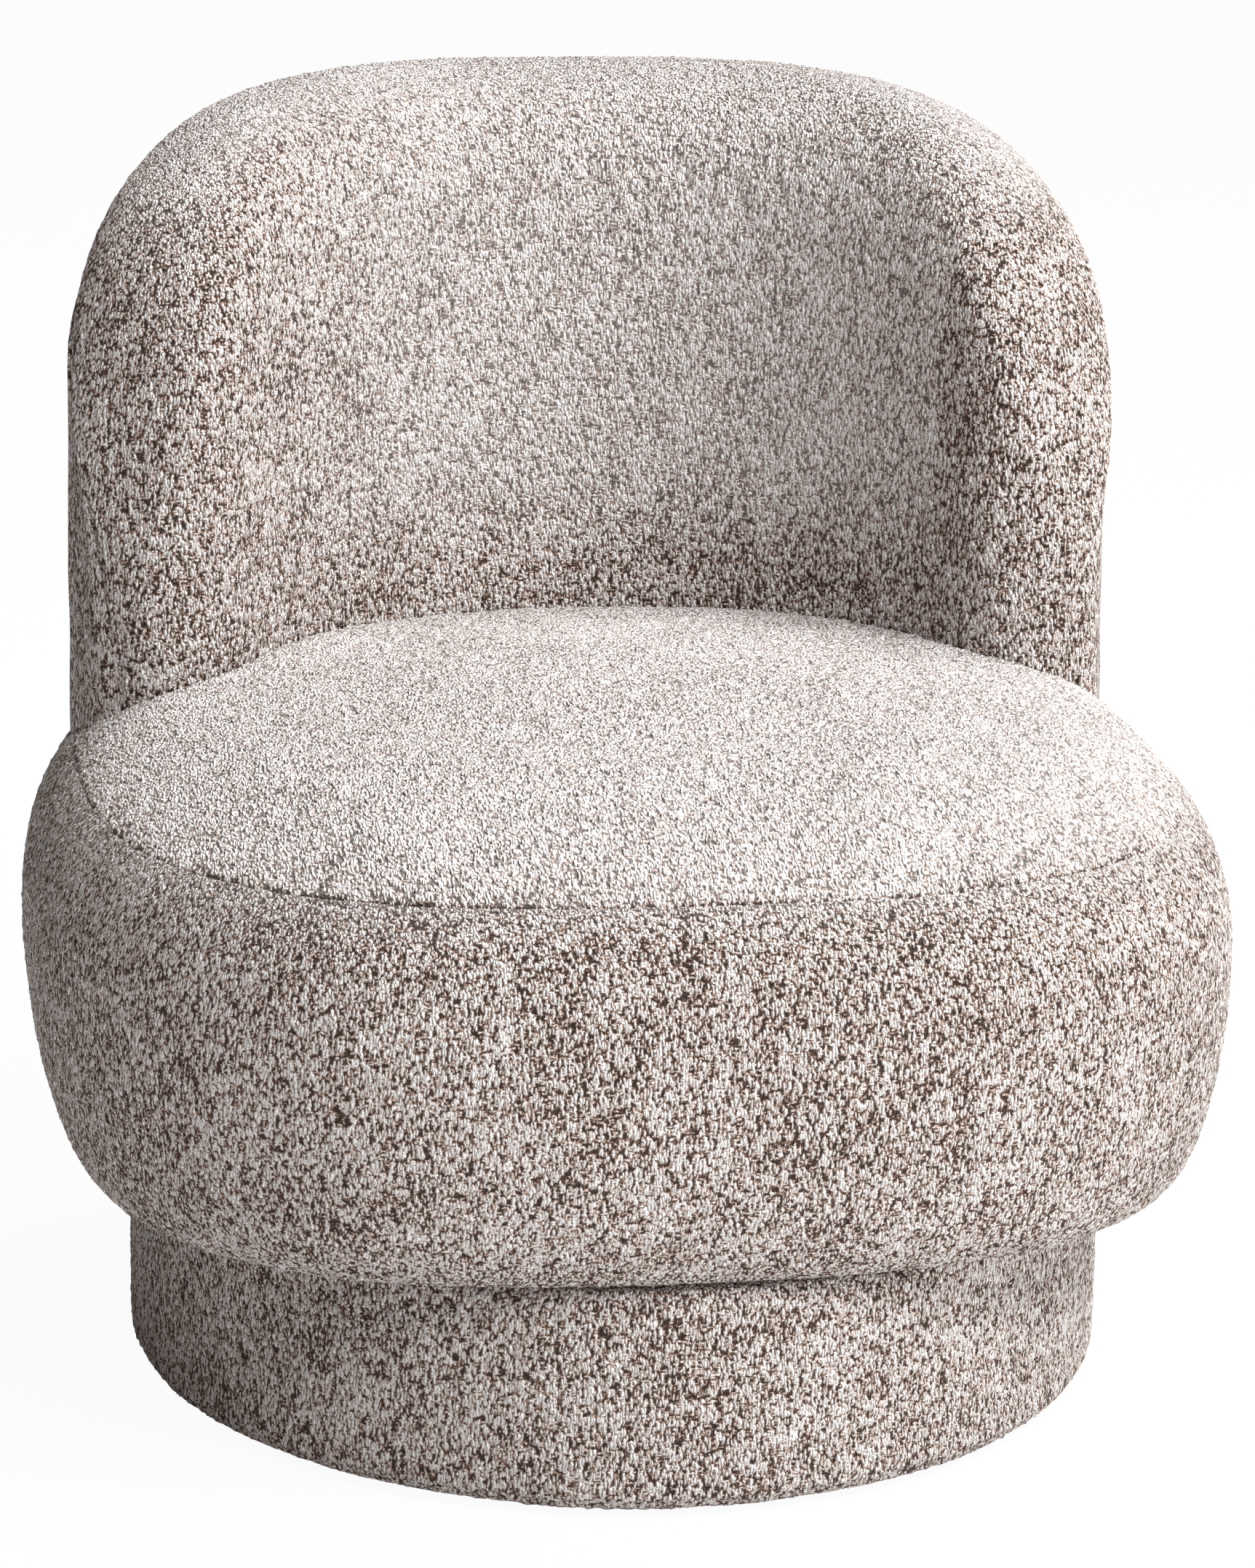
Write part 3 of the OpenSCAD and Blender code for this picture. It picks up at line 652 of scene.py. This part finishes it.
# Raises the pile side alone, which has the first material
def makePileRelief():
    tree = bpy.data.node_groups.new("curledPileRelief", "GeometryNodeTree")
    tree.interface.new_socket("Geometry", in_out="INPUT", socket_type="NodeSocketGeometry")
    tree.interface.new_socket("Geometry", in_out="OUTPUT", socket_type="NodeSocketGeometry")
    entry, leave = tree.nodes.new("NodeGroupInput"), tree.nodes.new("NodeGroupOutput")
    place = namedAttribute(tree, "weavePlace", "FLOAT_VECTOR")
    height, _ = curls(tree, place)
    lump = noiseNode(tree, place, curl["lump"], 2.0)
    low = mathNode(tree, "MULTIPLY_ADD", lump.outputs["Fac"], curl["lumpHeight"], -0.4 * curl["lumpHeight"])
    total = mathNode(tree, "ADD", low, mathNode(tree, "MULTIPLY_ADD", height, curl["curlHeight"],
                                                -0.45 * curl["curlHeight"]))
    partedAndShaded = namedAttribute(tree, "partedAndShaded", "FLOAT")
    total = mathNode(tree, "MULTIPLY", total, rangeNode(tree, partedAndShaded, 0.0, 1.0, 1.0, curl["seamLeft"]))
    push = tree.nodes.new("ShaderNodeVectorMath")
    push.operation = "SCALE"
    link(tree, tree.nodes.new("GeometryNodeInputNormal").outputs[0], push.inputs[0])
    link(tree, total, push.inputs["Scale"])
    isPile = tree.nodes.new("FunctionNodeCompare")
    isPile.data_type = "INT"
    isPile.operation = "EQUAL"
    link(tree, tree.nodes.new("GeometryNodeInputMaterialIndex").outputs[0], isPile.inputs[2])
    isPile.inputs[3].default_value = 0
    move = tree.nodes.new("GeometryNodeSetPosition")
    link(tree, entry.outputs[0], move.inputs["Geometry"])
    link(tree, isPile.outputs[0], move.inputs["Selection"])
    link(tree, push.outputs[0], move.inputs["Offset"])
    link(tree, move.outputs[0], leave.inputs[0])
    return tree


def raisePile(piece, relief):
    modifier = piece.modifiers.new("pile", "NODES")
    modifier.node_group = relief
    graph = bpy.context.evaluated_depsgraph_get()
    finished = bpy.data.meshes.new_from_object(piece.evaluated_get(graph))
    piece.modifiers.clear()
    piece.data = finished
    finished.name = piece.name


def newMaterial(name):
    material = bpy.data.materials.new(name)
    material.use_nodes = True
    tree = material.node_tree
    return material, tree, tree.nodes["Principled BSDF"]


def rampNode(tree, value, stops):
    node = tree.nodes.new("ShaderNodeValToRGB")
    ramp = node.color_ramp
    while len(ramp.elements) < len(stops):
        ramp.elements.new(0.5)
    for element, (place, colour) in zip(ramp.elements, stops):
        element.position = place
        element.color = (*colour, 1)
    link(tree, value, node.inputs[0])
    return node.outputs[0]


def mixColour(tree, share, first, second, blend="MIX"):
    node = tree.nodes.new("ShaderNodeMix")
    node.data_type = "RGBA"
    node.blend_type = blend
    for socket, value in ((node.inputs[0], share), (node.inputs[6], first), (node.inputs[7], second)):
        if isinstance(value, (int, float)):
            socket.default_value = value
        elif isinstance(value, tuple):
            socket.default_value = (*value, 1)
        else:
            link(tree, value, socket)
    return node.outputs[2]


def bumpNode(tree, height, distance, strength=1.0):
    node = tree.nodes.new("ShaderNodeBump")
    node.inputs["Strength"].default_value = strength
    node.inputs["Distance"].default_value = distance
    link(tree, height, node.inputs["Height"])
    return node.outputs[0]


def objectPlace(tree):
    return tree.nodes.new("ShaderNodeTexCoord").outputs["Object"]


# A shader node group is built once, and each material places it with its own values
def newGroup(name, entries, exits):
    tree = bpy.data.node_groups.new(name, "ShaderNodeTree")
    for label, kind, value in entries:
        socket = tree.interface.new_socket(label, in_out="INPUT", socket_type=kind)
        if value is not None:
            socket.default_value = value
    for label in exits:
        tree.interface.new_socket(label, in_out="OUTPUT", socket_type="NodeSocketFloat")
    return tree, tree.nodes.new("NodeGroupInput").outputs, tree.nodes.new("NodeGroupOutput").inputs


def placeGroup(tree, group, values):
    node = tree.nodes.new("ShaderNodeGroup")
    node.node_tree = group
    for label, value in values.items():
        if isinstance(value, (int, float)):
            node.inputs[label].default_value = value
        else:
            link(tree, value, node.inputs[label])
    return node.outputs


# Grain lines that run along Z of the place given, with rings that wander
def makeGrainGroup():
    tree, entry, leave = newGroup("woodGrain", (("Place", "NodeSocketVector", None),
                                                ("Ring", "NodeSocketFloat", 90.0),
                                                ("Wander", "NodeSocketFloat", 0.02)), ("Tone", "Pores"))
    slow = noiseNode(tree, vectorNode(tree, "MULTIPLY", entry["Place"], (1, 1, 0.12)), 0.06, 2.0)
    drift = tree.nodes.new("ShaderNodeVectorMath")
    drift.operation = "SCALE"
    link(tree, slow.outputs["Color"], drift.inputs[0])
    link(tree, entry["Wander"], drift.inputs["Scale"])
    moved = vectorNode(tree, "ADD", entry["Place"], drift.outputs[0])
    parts = tree.nodes.new("ShaderNodeSeparateXYZ")
    link(tree, moved, parts.inputs[0])
    away = mathNode(tree, "ADD", parts.outputs[0], mathNode(tree, "MULTIPLY", parts.outputs[1], 0.6))
    turns = mathNode(tree, "MULTIPLY", entry["Ring"], 6.28)
    rings = mathNode(tree, "SINE", mathNode(tree, "MULTIPLY", away, turns))
    streaks = noiseNode(tree, vectorNode(tree, "MULTIPLY", moved, (1, 1, 0.05)), 0.0016, 3.0, 0.6)
    tone = mathNode(tree, "ADD", mathNode(tree, "MULTIPLY_ADD", rings, 0.2, 0.3),
                    mathNode(tree, "MULTIPLY", streaks.outputs["Fac"], 0.4))
    link(tree, tone, leave["Tone"])
    link(tree, rangeNode(tree, streaks.outputs["Fac"], 0.60, 0.72), leave["Pores"])
    return tree


# Threads that cross over and under, so many to the metre
def makeWeaveGroup():
    tree, entry, leave = newGroup("threadWeave", (("Place", "NodeSocketVector", None),
                                                  ("Thread", "NodeSocketFloat", 900.0)), ("Height", "Shade"))
    parts = tree.nodes.new("ShaderNodeSeparateXYZ")
    link(tree, entry["Place"], parts.inputs[0])
    waves = []
    for axis in range(3):
        turns = mathNode(tree, "MULTIPLY", entry["Thread"], 3.14)
        waves.append(mathNode(tree, "SINE", mathNode(tree, "MULTIPLY", parts.outputs[axis], turns)))
    crossing = mathNode(tree, "MULTIPLY", waves[0], waves[1])
    standing = mathNode(tree, "MULTIPLY", waves[2], mathNode(tree, "MAXIMUM", waves[0], waves[1]))
    both = mathNode(tree, "ADD", crossing, standing)
    link(tree, mathNode(tree, "MULTIPLY_ADD", both, 0.35, 0.5), leave["Height"])
    uneven = noiseNode(tree, entry["Place"], 0.004, 3.0, 0.65)
    link(tree, uneven.outputs["Fac"], leave["Shade"])
    return tree


# Handling marks: fine scratches and dull patches
def makeScuffGroup():
    tree, entry, leave = newGroup("handlingMarks", (("Place", "NodeSocketVector", None),
                                                    ("Amount", "NodeSocketFloat", 0.5)),
                                  ("Scratches", "Dullness"))
    lines = noiseNode(tree, vectorNode(tree, "MULTIPLY", entry["Place"], (1, 0.08, 0.35)), 0.0007, 2.0, 0.5)
    scratches = rangeNode(tree, lines.outputs["Fac"], 0.63, 0.70)
    link(tree, mathNode(tree, "MULTIPLY", scratches, entry["Amount"]), leave["Scratches"])
    clouds = noiseNode(tree, entry["Place"], 0.012, 4.0, 0.6)
    link(tree, mathNode(tree, "MULTIPLY", clouds.outputs["Fac"], entry["Amount"]), leave["Dullness"])
    return tree


woodGrain, threadWeave, handlingMarks = makeGrainGroup(), makeWeaveGroup(), makeScuffGroup()

# The tone follows the curls' height: gap, low and body paint the shade that falls between the curls and down
# their sides, darker and browner, and crest is the yarn's own pale colour
pileColours = {
    "gap": (0.036, 0.018, 0.012),
    "low": (0.210, 0.125, 0.088),
    "body": (0.600, 0.490, 0.432),
    "crest": (0.940, 0.915, 0.907),
    "stops": (0.19, 0.30, 0.44, 0.62),         # tones at which these four stand
    "depth": 0.045,                            # more widens the painted shade between the curls
    "contrast": 1.10,
    "fibre": 0.24,                             # how far the tone changes from fibre to fibre,
    "yarn": 0.34,                              # from curl to curl,
    "clump": 0.23,                             # from clump to clump
    "patch": 0.26,                             # and over a hand's breadth
    "brushedAndLit": 0.09,                           # painted lighter where the pile is brushed flat and where the cloth faces up into the light
    "litTips": (0.930, 0.922, 0.925),             # pale tips painted in there, as brushed pile and as light from above, and their share
    "litTipShare": 0.22,
    "seam": 0.26,                              # painted shade where the curls part over a seam
    "taupe": (0.560, 0.430, 0.350),            # yarn of a few curls
    "taupeShare": 0.45,
    "roughness": 0.95,
    "backing": ((0.20, 0.165, 0.145), (0.38, 0.33, 0.30)),
}


def makePile():
    material, tree, shader = newMaterial("curledPile")
    attribute = tree.nodes.new("ShaderNodeAttribute")
    attribute.attribute_name = "weavePlace"
    place = attribute.outputs["Vector"]
    flatAndLit = tree.nodes.new("ShaderNodeAttribute")
    flatAndLit.attribute_name = "brushedAndLit"
    partedAndShaded = tree.nodes.new("ShaderNodeAttribute")
    partedAndShaded.attribute_name = "partedAndShaded"
    height, cell = curls(tree, place)
    split = tree.nodes.new("ShaderNodeSeparateColor")
    link(tree, cell, split.inputs[0])
    fibre = noiseNode(tree, place, 0.0008, 2.0, 0.6)
    patch = noiseNode(tree, place, 0.055, 3.0, 0.6)
    clump = noiseNode(tree, place, 0.009, 3.0, 0.65)
    # Painted light where the pile is brushed and faces up
    brushedAndLit = mathNode(tree, "MULTIPLY", flatAndLit.outputs["Fac"], pileColours["brushedAndLit"])
    # Painted shade in the seam's crease, where the curls part
    seam = mathNode(tree, "MULTIPLY", partedAndShaded.outputs["Fac"], pileColours["seam"])
    # The tone by curl height paints shade between the curls and down their sides
    tone = mathNode(tree, "MULTIPLY_ADD", height, pileColours["contrast"], -pileColours["depth"])
    tone = mathNode(tree, "SUBTRACT", mathNode(tree, "ADD", tone, brushedAndLit), seam)
    for part, weight in ((fibre.outputs["Fac"], "fibre"), (split.outputs[0], "yarn"),
                         (patch.outputs["Fac"], "patch"), (clump.outputs["Fac"], "clump")):
        share = pileColours[weight]
        tone = mathNode(tree, "ADD", tone, mathNode(tree, "MULTIPLY_ADD", part, share, -share / 2))
    colours = [pileColours[level] for level in ("gap", "low", "body", "crest")]
    colour = rampNode(tree, tone, list(zip(pileColours["stops"], colours)))
    dyed = mathNode(tree, "MULTIPLY", rangeNode(tree, split.outputs[1], 0.72, 0.95), pileColours["taupeShare"])
    colour = mixColour(tree, dyed, colour, pileColours["taupe"], "MULTIPLY")
    # Pale tips painted where the cloth faces up, as brushed pile and as light from above
    litTips = mathNode(tree, "MULTIPLY", flatAndLit.outputs["Fac"], pileColours["litTipShare"])
    colour = mixColour(tree, litTips, colour, pileColours["litTips"])
    link(tree, colour, shader.inputs["Base Color"])
    shader.inputs["Roughness"].default_value = pileColours["roughness"]
    shader.inputs["Specular IOR Level"].default_value = 0.15
    shader.inputs["Sheen Weight"].default_value = 0.1
    shader.inputs["Sheen Roughness"].default_value = 0.6
    relief = mathNode(tree, "MULTIPLY_ADD", fibre.outputs["Fac"], 0.25, height)
    link(tree, bumpNode(tree, relief, curl["bump"]), shader.inputs["Normal"])
    return material


def makeBacking():
    material, tree, shader = newMaterial("fabricBacking")
    weave = placeGroup(tree, threadWeave, {"Place": objectPlace(tree), "Thread": 700})
    tone = mathNode(tree, "MULTIPLY_ADD", weave["Height"], 0.5, mathNode(tree, "MULTIPLY", weave["Shade"], 0.5))
    dark, light = pileColours["backing"]
    link(tree, rampNode(tree, tone, ((0.25, dark), (0.75, light))), shader.inputs["Base Color"])
    shader.inputs["Roughness"].default_value = 0.92
    link(tree, bumpNode(tree, weave["Height"], 0.0004), shader.inputs["Normal"])
    return material


pile, backing = makePile(), makeBacking()
relief = makePileRelief()
for cover, facts in covers.items():
    markCloth(cover, (1, 0.55, 1) if cover is topCover else (1, 1, 1), facts["parting"])
    raisePile(cover, relief)
    cover.data.materials.clear()
    cover.data.materials.append(pile)
    cover.data.materials.append(backing)
print("The pile is raised:", {c.name: len(c.data.polygons) for c in covers})

for cover, node, body in ((topCover, "seat_top_cover", "seat"), (sideCover, "seat_side_cover", "seat"),
                          (underCover, "seat_under_cover", "seat"), (backFront, "back_front_cover", "seat"),
                          (backRear, "back_rear_cover", "seat"), (plinthCover, "plinth_cover", "plinth")):
    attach(cover, body)
    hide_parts(node)


# What the covers hide: each inner solid gets the finish of its slot in the record
innerLook = {
    "foam": ((0.80, 0.73, 0.52), (0.92, 0.87, 0.70)),    # darkest and lightest tone, as in all pairs
    "foamPore": 0.0012,
    "plywood": ((0.56, 0.39, 0.23), (0.80, 0.64, 0.44)),
    "plyDark": (0.42, 0.28, 0.16),
    "plyLayer": 0.0015,
    "timber": ((0.50, 0.34, 0.19), (0.74, 0.56, 0.36)),
    "dustCloth": ((0.015, 0.015, 0.017), (0.055, 0.055, 0.060)),
    "webbing": ((0.62, 0.58, 0.50), (0.82, 0.79, 0.72)),
    "steel": ((0.52, 0.53, 0.55), (0.68, 0.69, 0.71)),
    "darkSteel": ((0.045, 0.045, 0.05), (0.13, 0.13, 0.14)),
    "nylon": ((0.035, 0.035, 0.038), (0.075, 0.075, 0.08)),
}


def makeFoam():
    material, tree, shader = newMaterial("cutFoam")
    place = objectPlace(tree)
    pores = tree.nodes.new("ShaderNodeTexVoronoi")
    pores.inputs["Scale"].default_value = 1 / innerLook["foamPore"]
    link(tree, place, pores.inputs["Vector"])
    clouds = noiseNode(tree, place, 0.03, 3.0, 0.6)
    cut = rangeNode(tree, pores.outputs["Distance"], 0.25, 0.6)
    tone = mathNode(tree, "MULTIPLY_ADD", clouds.outputs["Fac"], 0.6, mathNode(tree, "MULTIPLY", cut, 0.4))
    link(tree, rampNode(tree, tone, ((0.2, innerLook["foam"][0]), (0.8, innerLook["foam"][1]))),
         shader.inputs["Base Color"])
    shader.inputs["Roughness"].default_value = 1.0
    shader.inputs["Specular IOR Level"].default_value = 0.2
    link(tree, bumpNode(tree, cut, 0.0005), shader.inputs["Normal"])
    return material


# Flat sheets show their layers on upright cut edges, bent ones carry their grain upright
def makePlywood(name, isFlat):
    material, tree, shader = newMaterial(name)
    place = objectPlace(tree)
    turned = tree.nodes.new("ShaderNodeMapping")
    turned.inputs["Rotation"].default_value = (math.pi / 2 if isFlat else 0, 0, 0)
    link(tree, place, turned.inputs["Vector"])
    grain = placeGroup(tree, woodGrain, {"Place": turned.outputs[0], "Ring": 45, "Wander": 0.05})
    face = rampNode(tree, grain["Tone"], ((0.2, innerLook["plywood"][0]), (0.75, innerLook["plywood"][1])))
    parts = tree.nodes.new("ShaderNodeSeparateXYZ")
    link(tree, place, parts.inputs[0])
    layer = mathNode(tree, "MULTIPLY", parts.outputs[2], math.pi / innerLook["plyLayer"])
    layer = mathNode(tree, "SINE", layer)
    upright = tree.nodes.new("ShaderNodeSeparateXYZ")
    link(tree, tree.nodes.new("ShaderNodeNewGeometry").outputs["Normal"], upright.inputs[0])
    edge = rangeNode(tree, mathNode(tree, "ABSOLUTE", upright.outputs[2]), 0.5, 0.3)
    shade = mathNode(tree, "MULTIPLY", mathNode(tree, "MULTIPLY", edge, 0.7 if isFlat else 0.0),
                     rangeNode(tree, layer, -0.3, 0.3))
    link(tree, mixColour(tree, shade, face, innerLook["plyDark"]), shader.inputs["Base Color"])
    rough = mathNode(tree, "MULTIPLY_ADD", grain["Tone"], 0.2, 0.5)
    link(tree, rough, shader.inputs["Roughness"])
    link(tree, bumpNode(tree, grain["Tone"], 0.0003), shader.inputs["Normal"])
    return material


def makeTimber():
    material, tree, shader = newMaterial("sawnTimber")
    grain = placeGroup(tree, woodGrain, {"Place": objectPlace(tree), "Ring": 110, "Wander": 0.03})
    colour = rampNode(tree, grain["Tone"], ((0.2, innerLook["timber"][0]), (0.75, innerLook["timber"][1])))
    pores = mathNode(tree, "MULTIPLY", grain["Pores"], 0.5)
    colour = mixColour(tree, pores, colour, innerLook["timber"][0], "MULTIPLY")
    link(tree, colour, shader.inputs["Base Color"])
    shader.inputs["Roughness"].default_value = 0.75
    link(tree, bumpNode(tree, mathNode(tree, "SUBTRACT", grain["Tone"], grain["Pores"]), 0.0004),
         shader.inputs["Normal"])
    return material


def makeWoven(name, colours, thread, roughness):
    material, tree, shader = newMaterial(name)
    weave = placeGroup(tree, threadWeave, {"Place": objectPlace(tree), "Thread": thread})
    shade = mathNode(tree, "MULTIPLY", weave["Shade"], 0.45)
    tone = mathNode(tree, "MULTIPLY_ADD", weave["Height"], 0.55, shade)
    link(tree, rampNode(tree, tone, ((0.25, colours[0]), (0.75, colours[1]))), shader.inputs["Base Color"])
    shader.inputs["Roughness"].default_value = roughness
    link(tree, bumpNode(tree, weave["Height"], 0.3 / thread), shader.inputs["Normal"])
    return material


def makeHard(name, colours, metallic, roughness, marks):
    material, tree, shader = newMaterial(name)
    scuffs = placeGroup(tree, handlingMarks, {"Place": objectPlace(tree), "Amount": marks})
    tone = mathNode(tree, "ADD", scuffs["Dullness"], scuffs["Scratches"])
    link(tree, rampNode(tree, tone, ((0.1, colours[0]), (0.8, colours[1]))), shader.inputs["Base Color"])
    shader.inputs["Metallic"].default_value = metallic
    link(tree, mathNode(tree, "MULTIPLY_ADD", scuffs["Dullness"], 0.25, roughness), shader.inputs["Roughness"])
    link(tree, bumpNode(tree, scuffs["Scratches"], 0.0001, 0.6), shader.inputs["Normal"])
    return material


inner = {
    "foam": makeFoam(),
    "plywood": makePlywood("plywoodSheet", True),
    "timber": makeTimber(),
    "dust_cloth": makeWoven("dustCloth", innerLook["dustCloth"], 1400, 0.9),
    "webbing": makeWoven("elasticWebbing", innerLook["webbing"], 500, 0.8),
    "steel": makeHard("zincPlatedSteel", innerLook["steel"], 1.0, 0.32, 0.7),
    "dark_steel": makeHard("blackOxideSteel", innerLook["darkSteel"], 0.9, 0.42, 0.5),
    "nylon": makeHard("mouldedNylon", innerLook["nylon"], 0.0, 0.45, 0.4),
    "cover_fabric": backing,
}
bentPlywood = makePlywood("bentPlywood", False)
for part in frame["record"]["subparts"]:
    solid = nodes[part["node"]]
    isBent = part["node"] in ("plinth_shell", "seat_side_band", "back_front_skin", "back_rear_skin")
    finish = bentPlywood if isBent else inner[part["material_slot"]]
    solid.data.materials.clear()
    solid.data.materials.append(finish)
print("The pieces inside have their finishes")

studio = {
    "floorSize": 14,
    "lampAim": 0.38,       # height of the point that the lamps face
    "floorColour": (0.86, 0.86, 0.86),
    "floorGlow": 0.95,     # share of the floor that the camera sees as plain white
    "world": 0.12,
    "worldColour": (1.0, 0.87, 0.79),    # warm light that the room gives back into the shade
}
# Each lamp by its bearing from +X and its height, both in degrees, as seen from the seat
lamps = {
    "key": {"bearing": 30, "rise": 68, "distance": 5.0, "size": 2.0, "power": 192},
    "front": {"bearing": -35, "rise": 50, "distance": 5.0, "size": 1.5, "power": 139},
    "fill": {"bearing": -75, "rise": 48, "distance": 5.0, "size": 1.5, "power": 152},
    "side": {"bearing": -32, "rise": 8, "distance": 5.0, "size": 1.6, "power": 132},
}


def makeFloor():
    bm = bmesh.new()
    bmesh.ops.create_grid(bm, x_segments=1, y_segments=1, size=studio["floorSize"] / 2)
    floor = newPiece("floor", bm)
    material, tree, shader = newMaterial("floor")
    shader.inputs["Base Color"].default_value = (*studio["floorColour"], 1)
    shader.inputs["Roughness"].default_value = 0.9
    shader.inputs["Specular IOR Level"].default_value = 0.1
    rays = tree.nodes.new("ShaderNodeLightPath")
    glow = tree.nodes.new("ShaderNodeEmission")
    glow.inputs["Color"].default_value = (1, 1, 1, 1)
    mix = tree.nodes.new("ShaderNodeMixShader")
    seen = mathNode(tree, "MULTIPLY", rays.outputs["Is Camera Ray"], studio["floorGlow"])
    link(tree, seen, mix.inputs[0])
    link(tree, shader.outputs[0], mix.inputs[1])
    link(tree, glow.outputs[0], mix.inputs[2])
    link(tree, mix.outputs[0], tree.nodes["Material Output"].inputs["Surface"])
    floor.data.materials.append(material)


def makeWorld():
    world = bpy.data.worlds.new("studio")
    scene.world = world
    world.use_nodes = True
    tree = world.node_tree
    background = tree.nodes["Background"]
    rays = tree.nodes.new("ShaderNodeLightPath")
    direct = mathNode(tree, "MAXIMUM", rays.outputs["Is Camera Ray"], rays.outputs["Is Glossy Ray"])
    direct = mathNode(tree, "MAXIMUM", direct, rays.outputs["Is Transmission Ray"])
    link(tree, mixColour(tree, direct, studio["worldColour"], (1.0, 1.0, 1.0)), background.inputs["Color"])
    link(tree, mathNode(tree, "MULTIPLY_ADD", direct, 1 - studio["world"], studio["world"]),
         background.inputs["Strength"])


def makeLamp(name, facts):
    data = bpy.data.lights.new(name, "AREA")
    data.size = facts["size"]
    data.energy = facts["power"]
    lamp = bpy.data.objects.new(name, data)
    scene.collection.objects.link(lamp)
    bearing, rise = math.radians(facts["bearing"]), math.radians(facts["rise"])
    away = Vector((math.cos(bearing) * math.cos(rise), math.sin(bearing) * math.cos(rise), math.sin(rise)))
    lamp.location = Vector((0, 0, studio["lampAim"])) + away * facts["distance"]
    lamp.rotation_euler = (-away).to_track_quat("-Z", "Y").to_euler()


makeFloor()
makeWorld()
for name, facts in lamps.items():
    makeLamp(name, facts)
print("The studio is lit")
